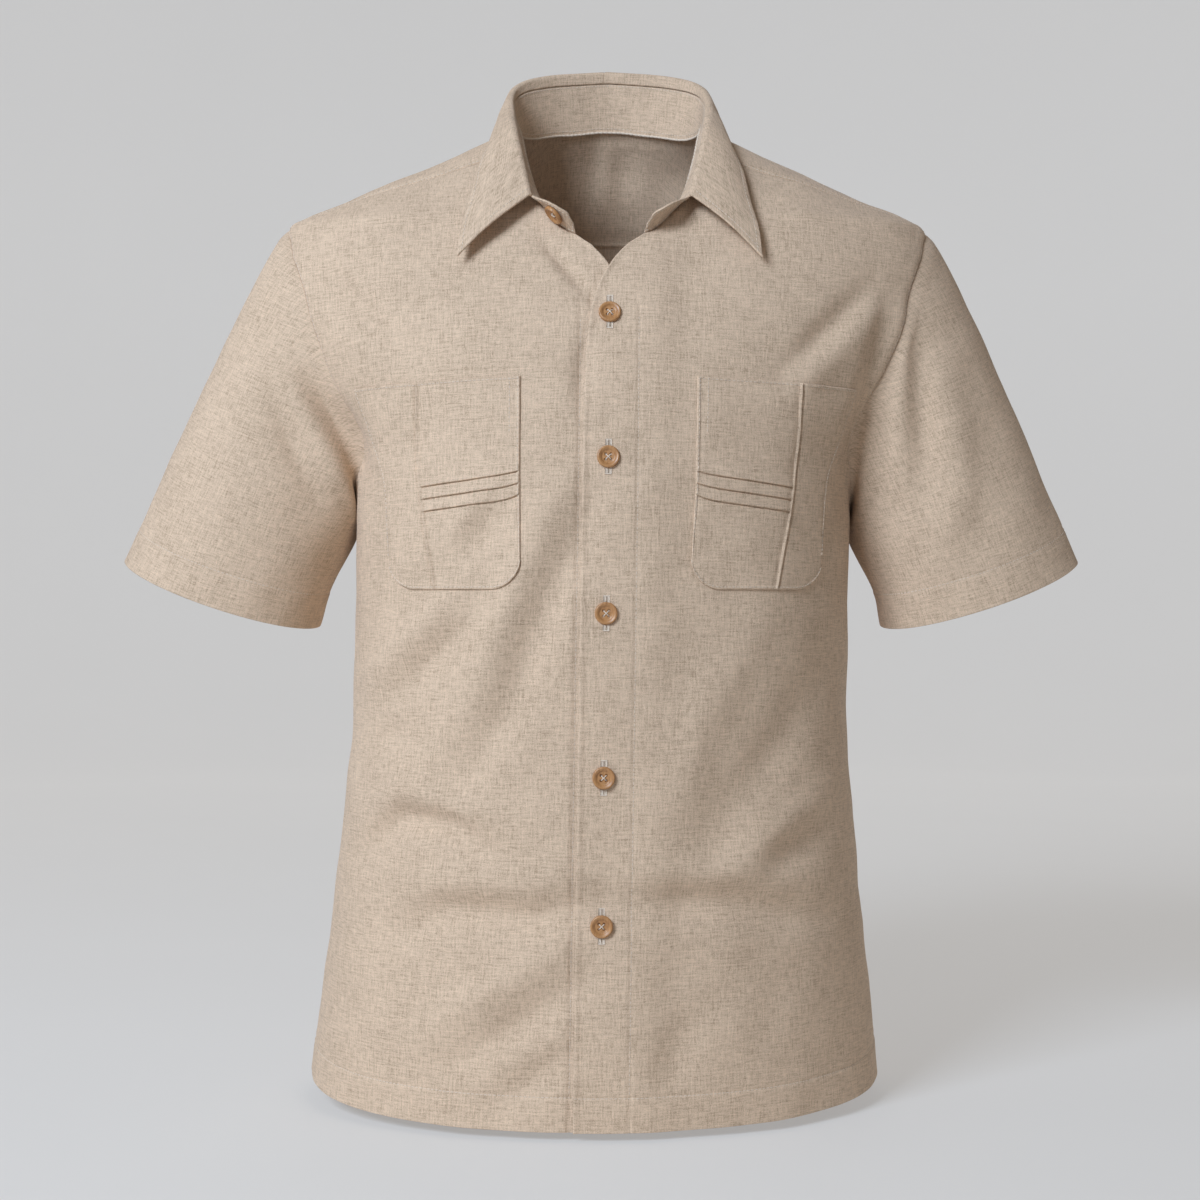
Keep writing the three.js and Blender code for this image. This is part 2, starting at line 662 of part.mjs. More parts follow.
// Collar fall: up from the stand on the neck side, over the roll and down to its free edge
function fallProfile(psi) {
  const normal = standNormal(psi, 1);
  const top = standTop(psi);
  const edge = edgePoint(psi);
  const up = top.clone().sub(neckEdge(psi).outer).normalize();
  const start = top.clone().addScaledVector(normal, -COLLAR_WALL).addScaledVector(up, GAP);
  const legHeight = Math.max(0.6, rollPoint(psi).distanceTo(top) - ROLL_RADIUS);
  const turnStart = start.clone().addScaledVector(up, legHeight);
  const down = edge.clone().sub(turnStart).normalize();
  const outward = down.clone().addScaledVector(up, -down.dot(up)).normalize();
  const turn = Math.acos(THREE.MathUtils.clamp(down.dot(up), -1, 1));
  const centre = turnStart.clone().addScaledVector(outward, ROLL_RADIUS);
  const visible = [start];
  const under = [start.clone().addScaledVector(normal, COLLAR_WALL)];
  const arm = (angle, radius) =>
    centre
      .clone()
      .addScaledVector(outward, -radius * Math.cos(angle))
      .addScaledVector(up, radius * Math.sin(angle));
  for (let step = 0; step <= ROLL_STEPS; step += 1) {
    const angle = (turn * step) / ROLL_STEPS;
    visible.push(arm(angle, ROLL_RADIUS));
    under.push(arm(angle, ROLL_RADIUS - COLLAR_WALL));
  }
  const from = visible[visible.length - 1];
  const across = arm(turn, 1).sub(centre);
  for (let step = 1; step <= LEG_STEPS; step += 1) {
    const t = step / LEG_STEPS;
    const bow = LEG_BOW * Math.sin(Math.PI * t);
    const point = from.clone().lerp(edge, t).addScaledVector(across, bow);
    visible.push(point);
    under.push(point.clone().addScaledVector(across, -COLLAR_WALL));
  }
  return { visible, under };
}
function collarFall() {
  const inFall = (psi) => psi >= COLLAR_END - 0.1 && psi <= 360.1 - COLLAR_END;
  const profiles = collarColumns().filter(inFall).map(fallProfile);
  return wallGeometry(
    profiles.map((profile) => profile.visible),
    profiles.map((profile) => profile.under),
  );
}

// Point of a front's faceted outer surface straight behind x, z
function panelPoint(front, x, z) {
  const { outer } = front;
  for (let row = 0; row < outer.length - 1; row += 1) {
    for (let column = 0; column < outer[0].length - 1; column += 1) {
      const a = outer[row][column];
      const b = outer[row][column + 1];
      const c = outer[row + 1][column + 1];
      const d = outer[row + 1][column];
      for (const [p, q, r] of [[a, b, c], [a, c, d]]) {
        const area = (q.x - p.x) * (r.z - p.z) - (r.x - p.x) * (q.z - p.z);
        const v = ((x - p.x) * (r.z - p.z) - (r.x - p.x) * (z - p.z)) / area;
        const w = ((q.x - p.x) * (z - p.z) - (x - p.x) * (q.z - p.z)) / area;
        if (v >= -1e-6 && w >= -1e-6 && v + w <= 1 + 1e-6) {
          return new THREE.Vector3(x, p.y + v * (q.y - p.y) + w * (r.y - p.y), z);
        }
      }
    }
  }
  throw new Error(`no cloth at x ${x}, z ${z}`);
}

// Height of the three tucks above the pocket's cloth: each rises slowly and ends in a step
function tuckHeight(z) {
  for (let tuck = 0; tuck < TUCKS.count; tuck += 1) {
    const drop = TUCKS.first - tuck * TUCKS.spacing - z;
    if (drop <= 0 && drop > -TUCKS.spacing) return TUCKS.height * (1 + drop / TUCKS.spacing);
    if (drop > 0 && drop < TUCKS.flank / 2) return 0;
  }
  return 0;
}

// One piece of a chest pocket: a wall over the front's own points, moved out
function pocketPiece(front, side, part) {
  const edges = Object.fromEntries(
    ['inner', 'seam', 'outer'].map((column) => [column, curveOf(POCKET_EDGES, 'z', column)]),
  );
  const centre = part === 'center';
  const [fromEdge, toEdge] = centre ? [edges.inner, edges.seam] : [edges.seam, edges.outer];
  const shares = POCKET_COLUMNS[part];
  const heights = pocketHeights();
  const outer = [];
  const inner = [];
  for (const v of heights) {
    const outerLine = [];
    const innerLine = [];
    for (const share of shares) {
      const place = pocketPlace(v, share, fromEdge, toEdge, edges);
      const seat = panelPoint(front, side * place.x, place.z);
      const theta = thetaOfX(side * place.x, place.z);
      const normal = bodyNormal(theta, place.z);
      const onSeam = centre ? share > 0.9 : share < 0.1;
      const rib = onSeam ? POCKET.seamRib : 0;
      const tuck = centre && !onSeam ? tuckHeight(v + TUCKS.slope * (place.x - edges.inner(v))) : 0;
      innerLine.push(seat.clone().addScaledVector(normal, LAY));
      outerLine.push(seat.addScaledVector(normal, LAY + POCKET.thick + rib + tuck));
    }
    outer.push(outerLine);
    inner.push(innerLine);
  }
  return wallGeometry(outer, inner);
}
function pocketHeights() {
  const heights = [POCKET.top, -202, -213, -224, -236, -246];
  for (let tuck = 0; tuck < TUCKS.count; tuck += 1) {
    const edge = TUCKS.first - tuck * TUCKS.spacing;
    heights.push(edge + TUCKS.spacing * 0.45, edge, edge - TUCKS.flank);
  }
  return [...heights, -296, -316, POCKET.bottom];
}

// Plan place of a pocket point: side edges by height, rounded bottom corners, slanted top
function pocketPlace(v, share, fromEdge, toEdge, edges) {
  const halfSeam = fromEdge === edges.seam ? GAP / 2 : 0;
  const left = fromEdge(v) + halfSeam;
  const right = toEdge(v) - (toEdge === edges.seam ? GAP / 2 : 0);
  const x = mix(left, right, share);
  const down = (POCKET.top - v) / (POCKET.top - POCKET.bottom);
  const acrossPocket = (x - edges.inner(v)) / (edges.outer(v) - edges.inner(v));
  const nearest = Math.min(x - edges.inner(v), edges.outer(v) - x);
  const inset = THREE.MathUtils.clamp(POCKET.corner - nearest, 0, POCKET.cornerInset);
  const lift = POCKET.corner - Math.sqrt(POCKET.corner ** 2 - inset ** 2);
  return { x, z: v - POCKET.outerDrop * acrossPocket * (1 - down) + lift * down ** 3 };
}

// Button: a turned disc with a rim and a dish, drilled with four holes
function buttonGeometry({ radius, thick, sides, hole, holeOffset }) {
  const profile = [
    [0, 0],
    [0.8 * radius, 0],
    [radius, 0.35 * thick],
    [radius, 0.7 * thick],
    [0.86 * radius, thick],
    [0.7 * radius, 0.85 * thick],
    [0.6 * radius, 0.6 * thick],
    [0, 0.6 * thick],
  ].map(([r, h]) => new THREE.Vector2(r, h));
  const disc = solidOf(new THREE.LatheGeometry(profile, sides));
  const holes = [0, 1, 2, 3].map((quarter) => {
    const angle = radians(45 + 90 * quarter);
    const tool = new THREE.CylinderGeometry(hole, hole, 3 * thick, 6);
    const reach = holeOffset * Math.SQRT2;
    tool.translate(reach * Math.cos(angle), 0, reach * Math.sin(angle));
    return solidOf(tool);
  });
  return geometryOf(holes.reduce((solid, tool) => solid.subtract(tool), disc));
}
function solidOf(geometry) {
  geometry.deleteAttribute('normal');
  geometry.deleteAttribute('uv');
  const merged = mergeVertices(geometry, 1e-4);
  const faces = [];
  const index = merged.index.array;
  for (let i = 0; i < index.length; i += 3) {
    const [a, b, c] = [index[i], index[i + 1], index[i + 2]];
    if (a !== b && b !== c && a !== c) faces.push(a, b, c);
  }
  const mesh = new wasm.Mesh({
    numProp: 3,
    vertProperties: new Float32Array(merged.attributes.position.array),
    triVerts: new Uint32Array(faces),
  });
  return new wasm.Manifold(mesh);
}
function geometryOf(solid) {
  const mesh = solid.getMesh();
  const geometry = new THREE.BufferGeometry();
  geometry.setAttribute('position', new THREE.Float32BufferAttribute(mesh.vertProperties, 3));
  geometry.setIndex(new THREE.Uint32BufferAttribute(mesh.triVerts, 1));
  geometry.computeVertexNormals();
  return geometry;
}

// Place of a button on a front: its back clears every point of the cloth under it
function buttonSeat(front, z) {
  const normal = bodyNormal(0, z);
  const centre = panelPoint(front, 0, z);
  let rise = 0;
  for (let k = 0; k < 16; k += 1) {
    const angle = (k * Math.PI) / 8;
    const [x, up] = [BUTTON.radius * Math.cos(angle), BUTTON.radius * Math.sin(angle)];
    const edge = panelPoint(front, x, z + up);
    rise = Math.max(rise, edge.sub(centre).dot(normal));
  }
  return { place: centre.addScaledVector(normal, rise + GAP), normal };
}

const garment = new THREE.Group();
garment.name = 'safari_shirt_jacket';

function add(name, geometry, finish) {
  const mesh = new THREE.Mesh(geometry, new THREE.MeshStandardMaterial(finish));
  mesh.name = name;
  garment.add(mesh);
  return mesh;
}
function addButton(name, geometry, seat) {
  const mesh = add(name, geometry, amber);
  mesh.position.set(seat.place.x + SWAY * seat.place.z, seat.place.y, seat.place.z);
  mesh.quaternion.setFromUnitVectors(new THREE.Vector3(0, 1, 0), seat.normal);
}

const fronts = { left: panel(frontGrid(1)), right: panel(frontGrid(-1)) };
const back = panel(backGrid());
const yoke = panel(yokeGrid());
add('front_left', wallGeometry(fronts.left.outer, fronts.left.inner), linen);
add('front_right', wallGeometry(fronts.right.outer, fronts.right.inner), linen);
add('back', wallGeometry(back.outer, back.inner), linen);
add('yoke', wallGeometry(yoke.outer, yoke.inner), linen);
add('sleeve_left', sleeve(1), linen);
add('sleeve_right', sleeve(-1), linen);
add('collar_stand', collarStand(), linen);
add('collar_fall', collarFall(), linen);
for (const [name, side] of [['left', 1], ['right', -1]]) {
  for (const part of ['center', 'side']) {
    add(`pocket_${name}_${part}`, pocketPiece(fronts[name], side, part), linen);
  }
}

BUTTON_HEIGHTS.forEach((z, i) => {
  addButton(`button_${i + 1}`, buttonGeometry(BUTTON), buttonSeat(fronts.left, z));
});
const tabNormal = standNormal(360 - COLLAR_BUTTON_PSI, COLLAR_BUTTON_RISE);
const tabPlace = standPoint(360 - COLLAR_BUTTON_PSI, COLLAR_BUTTON_RISE);
addButton('button_collar', buttonGeometry(BUTTON), {
  place: tabPlace.addScaledVector(tabNormal, COLLAR_BUTTON_CLEAR),
  normal: tabNormal,
});

export default garment;
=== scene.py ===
"""Short-sleeved linen safari shirt jacket in the form it has when worn, dressed over its solids.

Lengths in the shape functions are millimetres and the meshes are metres. +Z is up, the front
faces -Y and +X is the wearer's left.
"""

import math

import bpy
import numpy as np
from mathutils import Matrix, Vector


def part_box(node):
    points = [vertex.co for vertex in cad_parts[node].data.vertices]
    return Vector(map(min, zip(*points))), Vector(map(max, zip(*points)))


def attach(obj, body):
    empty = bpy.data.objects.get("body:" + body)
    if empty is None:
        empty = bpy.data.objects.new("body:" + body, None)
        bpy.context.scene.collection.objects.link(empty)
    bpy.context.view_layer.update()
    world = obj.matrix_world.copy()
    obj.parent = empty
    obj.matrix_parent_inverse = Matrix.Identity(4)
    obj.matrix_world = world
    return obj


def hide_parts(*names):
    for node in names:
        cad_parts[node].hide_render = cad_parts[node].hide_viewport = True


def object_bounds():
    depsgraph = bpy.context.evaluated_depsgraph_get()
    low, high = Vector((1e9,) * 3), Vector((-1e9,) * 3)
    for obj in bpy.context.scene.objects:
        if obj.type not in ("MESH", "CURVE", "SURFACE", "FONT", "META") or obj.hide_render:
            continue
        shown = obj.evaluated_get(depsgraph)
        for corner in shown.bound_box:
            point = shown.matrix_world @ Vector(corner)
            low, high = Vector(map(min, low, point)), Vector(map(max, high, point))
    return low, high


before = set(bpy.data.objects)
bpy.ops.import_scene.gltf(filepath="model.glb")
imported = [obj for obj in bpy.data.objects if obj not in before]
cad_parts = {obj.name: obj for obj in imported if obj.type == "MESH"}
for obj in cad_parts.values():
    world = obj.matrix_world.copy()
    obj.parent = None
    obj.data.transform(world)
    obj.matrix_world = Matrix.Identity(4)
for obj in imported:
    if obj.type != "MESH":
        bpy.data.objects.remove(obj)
CAD_BOX = [list(corner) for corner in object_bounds()]

bl_info = {
    "name": "Safari Shirt Jacket",
    "version": (1, 0, 0),
    "blender": (4, 5, 0),
    "location": "View3D > Sidebar > Shirt",
    "description": "Dresses the shirt's solids with linen cloth, folds, seams, stitches and buttons",
    "category": "Mesh",
}

MM = 0.001
SWAY = 0.0152

# Body sections: z, half width, depth to the front, depth to the back, squareness of the oval
SECTIONS = np.array(
    [
        (24, 44, 34, 60, 2),
        (18, 50, 38, 66, 2),
        (10, 60, 41, 73, 2),
        (0, 78, 44, 81, 2),
        (-12, 104.5, 49, 88, 2),
        (-31, 147, 57, 95, 2),
        (-50, 190, 65, 102, 2.1),
        (-63, 218.5, 71.5, 107, 2.15),
        (-70, 231.5, 76, 109, 2.2),
        (-82, 239, 82, 112, 2.2),
        (-100, 245, 92, 117, 2.2),
        (-137, 240.5, 109, 123, 2.2),
        (-175, 223.5, 122, 127, 2.2),
        (-208, 202, 130, 128, 2.2),
        (-239, 186, 135, 127, 2.2),
        (-275, 181, 139, 126, 2.2),
        (-350, 181, 141, 121, 2.2),
        (-417, 181, 142, 119, 2.15),
        (-476, 185.7, 142, 120, 2.15),
        (-565, 193.9, 145, 124, 2.1),
        (-654, 204.2, 148, 131, 2.1),
        (-705, 209.5, 150, 137, 2.1),
    ]
)

# Neck opening seen from above, and armhole seen from the side
NECK = {"half": 68, "y": 5, "front": 92, "square": 2.6, "back": 61, "tip": 20, "shoulder": 60}
NECK_BACK_CORNER = 105
NECK_RAISE = {"psi": 143, "height": 2.4, "width": 19}
ARMHOLE = {"z": -172.5, "half": 102.5, "y": 6, "front": 66, "back": 60, "step": 15}

# Panels: seams, hem and rows of the grid that the shape is worked out on
YOKE_SEAM_Z = -62
HEM = {"front": -698, "side": -686, "back": -692}
HEM_DEPTH = 23
CUFF_HEM_DEPTH = 26
FRONT_COLUMNS = 12
BACK_COLUMNS = 20
SKIRT_ROWS = 17
ARM_ROWS_FRONT = 11
ARM_ROWS_BACK = 9
NECK_ROWS = 3
ROW_CURVE = 1.3
YOKE_STOPS = (0, 4, 24, 28)
YOKE_NECK = (NECK["shoulder"], NECK_BACK_CORNER, 360 - NECK_BACK_CORNER, 360 - NECK["shoulder"])

# Front edge: z and x, and the heights of its upper rows
LAP = 17
FRONT_EDGE = np.array(
    [
        (-90, 19),
        (-97, 11.5),
        (-111.4, 0),
        (-129.6, -9),
        (-149, -13.4),
        (-175, -16),
        (-210, -LAP),
        (-720, -LAP),
    ]
)
FRONT_EDGE_ROWS = (-95, -106, -121, -143, -172, -208, -246, -284)
LAP_LIFT = {"height": 2.5, "start": -88, "full": -106, "near": 30, "far": 56}
FACING_X = 20

# Folds: face it lies on (-1 front, 1 back), depth (below 0 for a ridge), width, and its line
# as points of x and z
FOLD_END = 0.35
FOLDS = (
    (-1, -4.8, 9, [(-33, -267), (-60, -327), (-91, -411), (-122, -456)]),
    (-1, 5.7, 9, [(-11, -275), (-38, -343), (-67, -424), (-95, -468)]),
    (-1, -4.1, 7, [(-101, -333), (-132, -366), (-163, -396)]),
    (-1, 5.4, 7, [(-87, -353), (-120, -386), (-153, -417)]),
    (-1, -2.5, 5, [(-82, -267), (-108, -301)]),
    (-1, 3.6, 6, [(-68, -277), (-95, -312)]),
    (-1, 7.8, 7, [(-168, -522), (-138, -493), (-104, -496), (-73, -515)]),
    (-1, -4.4, 8, [(-168, -496), (-136, -472), (-80, -488)]),
    (-1, 7.1, 8, [(-144, -575), (-103, -552), (-47, -557), (-5, -546)]),
    (-1, -3.8, 9, [(-143, -540), (-79, -532), (-15, -527)]),
    (-1, -4.2, 8, [(-24, -575), (-78, -607), (-127, -643)]),
    (-1, 4.9, 8, [(-8, -596), (-57, -630), (-108, -663)]),
    (-1, 3.4, 7, [(-21, -647), (-70, -681)]),
    (-1, -4.0, 11, [(112, -357), (63, -424), (49, -504)]),
    (-1, 5.2, 12, [(155, -391), (117, -448), (75, -496)]),
    (-1, -4.2, 8, [(157, -475), (122, -499), (88, -523)]),
    (-1, 3.8, 8, [(162, -499), (130, -517), (114, -532)]),
    (-1, 7.9, 9, [(8, -546), (82, -548), (157, -565)]),
    (-1, -4.1, 9, [(25, -524), (90, -527), (154, -536)]),
    (-1, 5.5, 7, [(188, -119), (157, -151), (119, -187)]),
    (-1, -3.2, 8, [(190, -138), (157, -172), (125, -203)]),
    (-1, 3.1, 8, [(-200, -116), (-165, -146), (-139, -171)]),
    (-1, -1.4, 8, [(-197, -100), (-133, -142)]),
    (-1, 2.2, 9, [(83, -609), (51, -641), (40, -677)]),
    (-1, 3.1, 5, [(-16, -156), (-21, -218)]),
    (-1, 3.6, 7, [(-163, -448), (-135, -428)]),
    (-1, 3.4, 3.5, [(-46, -93), (-29, -114), (-11, -136)]),
    (-1, 6.0, 6, [(199, -128), (184, -198), (170, -256), (166, -293)]),
    (-1, -3.0, 5, [(213, -142), (210, -199), (215, -258)]),
    (-1, 4.2, 6, [(223, -161), (227, -216), (231, -271)]),
    (-1, -3.6, 9, [(243, -174), (256, -258), (242, -318)]),
    (-1, 3.2, 6, [(-239, -195), (-223, -233), (-212, -265)]),
    (-1, -6.0, 8, [(-224, -189), (-205, -225), (-192, -260), (-195, -301)]),
    (-1, 8.5, 7, [(-212, -187), (-185, -226), (-170, -254)]),
    (1, 5, 16, [(-150, -330), (-100, -378), (-40, -440)]),
    (1, -2.4, 12, [(-158, -308), (-104, -352), (-52, -404)]),
    (1, 4.2, 15, [(160, -380), (112, -428), (60, -470)]),
    (1, -2.2, 12, [(164, -352), (104, -398), (58, -438)]),
    (1, 5, 15, [(30, -560), (72, -596), (120, -640)]),
    (1, 4, 15, [(-120, -520), (-92, -586), (-60, -640)]),
    (1, -2.2, 11, [(-92, -520), (-62, -580), (-36, -626)]),
    (1, 5, 11, [(228, -180), (216, -226), (206, -272)]),
    (1, -2.6, 9, [(246, -184), (236, -232), (226, -284)]),
    (1, 4.2, 11, [(-228, -176), (-216, -228), (-207, -276)]),
    (1, -2.4, 9, [(-246, -188), (-238, -236), (-226, -282)]),
    (1, 3, 13, [(-60, -130), (-50, -190), (-34, -262)]),
    (1, 2.8, 12, [(52, -150), (64, -204), (84, -252)]),
    (1, 3.6, 8, [(-152, -240), (-164, -284), (-166, -334)]),
    (1, 3.6, 8, [(154, -248), (150, -292), (122, -346)]),
    (1, 3, 11, [(20, -420), (52, -474), (92, -520)]),
    (1, 2.6, 10, [(-172, -430), (-146, -470), (-118, -502)]),
    (1, 2.8, 11, [(104, -590), (86, -636), (62, -680)]),
    (1, 3.4, 5, [(-186, -238), (-180, -256), (-172, -272)]),
    (1, 3.4, 5, [(186, -240), (180, -256), (174, -270)]),
    (1, 2.2, 6, [(2, 12), (0, -16), (-3, -44)]),
    (1, 2.0, 7, [(26, 8), (30, -16), (33, -42)]),
    (1, 1.6, 6, [(-22, 6), (-26, -14), (-28, -38)]),
)

# Sleeve: tilted oval of the cuff, and the directions in which the cloth leaves and arrives
CUFF = {
    "centre": np.array([279.4, 2, -337.5]),
    "across": np.array([72.2, 0, 24.5]),
    "front": np.array([0, -58.6, -10.5]),
}
SLEEVE_LEAVE = {"x": 60, "y": 22, "z": -9.5, "z_top": -19.5}
UNDERARM = {"in": 12.0, "down": 9.0}
SLEEVE_MEET = {"x": 72.5, "x_top": 42.5, "z": -186, "z_top": -76}

# Collar by the angle round the neck: psi, x, y, z and the share of the height that is stand
COLLAR_ROLL = np.array(
    [
        (40, 56.5, -81, -60.5, 0.9),
        (50, 62, -66, -35, 0.84),
        (60, 67.5, -47, -9, 0.8),
        (75, 71.5, -13, 14, 0.79),
        (90, 73, 9, 30, 0.79),
        (110, 71.5, 31, 43, 0.79),
        (125, 62.5, 45.5, 53, 0.79),
        (150, 37.5, 59.5, 61, 0.79),
        (180, 0, 66, 65, 0.79),
    ]
)
COLLAR_TAB = np.array(
    [
        (20, 25.5, -89, -80.5),
        (24, 30, -96, -75.5),
        (29, 37, -97, -71.5),
        (34, 43, -95, -68),
        (40, 55.6, -80, -60.9),
    ]
)
COLLAR_EDGE = np.array(
    [
        (40, 106, -98, -105),
        (46, 104.5, -88, -86),
        (52, 99, -73, -61),
        (60, 95, -57, -37),
        (68, 89, -43, -19),
        (76, 85.5, -23, -5),
        (90, 83.5, 8, 2),
        (110, 79, 33.5, 3),
        (125, 69.5, 52.5, 0),
        (150, 42, 70.5, 5),
        (180, 0, 78, 12),
    ]
)
COLLAR_END = 40
ROLL_RADIUS = 3.6
LEG_BOW = 2.5
SEAM_GAP = 0.3
COLLAR_CREASE = 182.5

# Distances of the topstitching from the edges
EDGE_STITCH = 1.6
COLLAR_STITCH = 5
POCKET_STITCH = 2.6

# Chest pocket: z, inner edge, upright seam, outer edge
POCKET_EDGES = np.array(
    [
        (-191, 60, 133, 177),
        (-225, 59.5, 132, 166),
        (-262, 59, 129, 155),
        (-300, 58, 123, 152),
        (-340, 57, 116, 150),
    ]
)
POCKET = {"top": -191, "bottom": -336, "drop": 4, "corner": 20, "inset": 19.9}
POCKET_ALLOWANCE = 5.0
TUCKS = {"count": 3, "first": -257, "spacing": 8.7, "height": 1.1, "slope": 0.1}
TUCK_ROWS = (2.4, 1.2, 0.5, 0.1, 0, -0.15, -0.35, -0.55, -0.8, -1.1, -1.6)

BUTTONS = {
    "button_1": -147,
    "button_2": -247,
    "button_3": -352,
    "button_4": -462,
    "button_5": -561,
}
COLLAR_BUTTON = {"psi": 329, "rise": 0.5}
BUTTONHOLE = {"half": 11.2, "beside": 1.15, "pitch": 0.62, "clear": 5.5}

# Profile of a button as shares of its radius and thickness: the dish, the ring round it, and
# the side and back
DISH = 0.56
DISH_STEPS = 26
BUTTON_RING = (
    (0.52, 0.565), (0.58, 0.6), (0.63, 0.7), (0.67, 0.8), (0.72, 0.88), (0.78, 0.94), (0.84, 0.985)
)
BUTTON_BACK = ((1, 0.5), (0.995, 0.34), (0.95, 0.14), (0.86, 0.03), (0.7, 0), (0.35, 0), (0.02, 0))
THREAD_HOLE = {"aside": 1.75, "deep": 1.35, "bottom": 0.72, "rim": 1.0}

# Stage: camera, softboxes and world in metres, backdrop in millimetres
CAMERA = {"place": (-0.0355, -1.4996, -0.343), "turn": (math.pi / 2, 0, -0.0192), "far": 30}
LIGHTS = {
    "key": {"place": (-1.65, -2.25, 1.25), "size": 1.2, "colour": (0.86, 1, 1.19)},
    "fill": {"place": (0.7, -2.7, 0.1), "size": 1.6, "colour": (1, 0.96, 0.9)},
    "back": {"place": (0.2, 2.4, 1.7), "size": 1.4, "colour": (1, 0.98, 0.95)},
    "top": {"place": (-0.3, 0.4, 2.0), "size": 1.6, "colour": (1, 1, 1)},
}
WORLD = {"colour": (1, 0.84, 0.68, 1), "strength": 0.2}
BACKDROP = {"floor": 2800, "bend": 1200, "top": 2600, "sides": 96}


def ease(value, start, stop):
    """Smooth step: 0 before start, 1 after stop, 3t² - 2t³ between them."""
    t = np.clip((np.asarray(value, float) - start) / (stop - start), 0, 1)
    return t * t * (3 - 2 * t)


def mix(a, b, t):
    """Point at the share t of the way from a to b."""
    return a + (b - a) * t


def bell(distance, at, width):
    """Bell curve: 1 at one distance, e to the minus square of the offset over the width."""
    return np.exp(-(((distance - at) / width) ** 2))


def unit(vectors):
    """Vectors divided by their lengths."""
    return vectors / np.maximum(np.linalg.norm(vectors, axis=-1, keepdims=True), 1e-12)


def mirrored(psi):
    """Angle round the neck, folded at the centre back onto the wearer's left half."""
    return np.where(psi > 180, 360 - psi, psi)


def curve_of(at, value):
    """Smooth curve through a table with no overshoot: between two rows a Hermite cubic, whose
    slope at a row is the harmonic mean of its two chords, or 0 where they point apart."""
    at, value = np.array(at, float), np.array(value, float)
    if at[0] > at[-1]:
        at, value = at[::-1], value[::-1]
    chord = np.diff(value) / np.diff(at)
    product = chord[:-1] * chord[1:]
    total = np.where(product > 0, chord[:-1] + chord[1:], 1)
    inner = np.where(product > 0, 2 * product / total, 0)
    lean = np.concatenate([chord[:1], inner, chord[-1:]])

    def curve(x):
        i = np.clip(np.searchsorted(at, x, side="right") - 1, 0, len(at) - 2)
        span = at[i + 1] - at[i]
        t = np.clip((x - at[i]) / span, 0, 1)
        u = 1 - t
        chord_part = value[i] * u * u * (1 + 2 * t) + value[i + 1] * t * t * (3 - 2 * t)
        return chord_part + span * (lean[i] * t * u * u - lean[i + 1] * t * t * u)

    return curve


half_at, front_at, back_at, square_at = (curve_of(SECTIONS[:, 0], SECTIONS[:, k]) for k in (1, 2, 3, 4))
edge_x_at = curve_of(FRONT_EDGE[:, 0], FRONT_EDGE[:, 1])
pocket_inner, pocket_seam, pocket_outer = (
    curve_of(POCKET_EDGES[:, 0], POCKET_EDGES[:, k]) for k in (1, 2, 3)
)
rise_at = curve_of(COLLAR_ROLL[:, 0], COLLAR_ROLL[:, 4])


def body_point(theta, z):
    """Point of the body's oval: x = half width · sin θ · r and y = -depth · cos θ · r, where r
    is (|sin θ|ⁿ + |cos θ|ⁿ) to the power -1/n and n is the squareness at that height."""
    s, c, n = np.sin(theta), np.cos(theta), square_at(z)
    r = (np.abs(s) ** n + np.abs(c) ** n) ** (-1 / n)
    depth = np.where(c > 0, front_at(z), back_at(z))
    return np.stack([half_at(z) * s * r, -depth * c * r, z + 0 * r], -1)


def theta_of_y(y, z):
    """Angle on the wearer's left at which the oval has this y: the oval's formula solved for θ."""
    n = square_at(z)
    q = np.minimum(1, np.abs(y) / np.where(y < 0, front_at(z), back_at(z)))
    angle = np.arctan2((1 - q**n) ** (1 / n), q)
    return np.where(y < 0, angle, math.pi - angle)


def theta_of_x(x, z):
    """Angle on the front at which the oval has this x: the oval's formula solved for θ."""
    n = square_at(z)
    p = np.minimum(1, np.abs(x) / half_at(z))
    return np.sign(x) * np.arctan2(p, (1 - p**n) ** (1 / n))


def height_of(x, y):
    """Height at which the body passes over a plan point, by halving the range of z: the point
    is outside the oval where |x/half|ⁿ + |y/depth|ⁿ is over 1."""
    high, low = np.full(np.shape(x), 24.0), np.full(np.shape(x), -200.0)
    for _ in range(40):
        z = (high + low) / 2
        n = square_at(z)
        depth = np.where(y < 0, front_at(z), back_at(z))
        outside = (np.abs(x) / half_at(z)) ** n + (np.abs(y) / depth) ** n > 1
        high, low = np.where(outside, z, high), np.where(outside, low, z)
    return (high + low) / 2


def normal_of(surface, a, b, step_a, step_b):
    """Unit normal of a surface of two parameters: cross product of its central differences."""
    along_a = surface(a + step_a, b) - surface(a - step_a, b)
    along_b = surface(a, b + step_b) - surface(a, b - step_b)
    return unit(np.cross(along_a, along_b))


def body_normal(theta, z):
    """Outward unit normal of the body's oval."""
    return normal_of(body_point, theta, z, 0.01, 1.0)


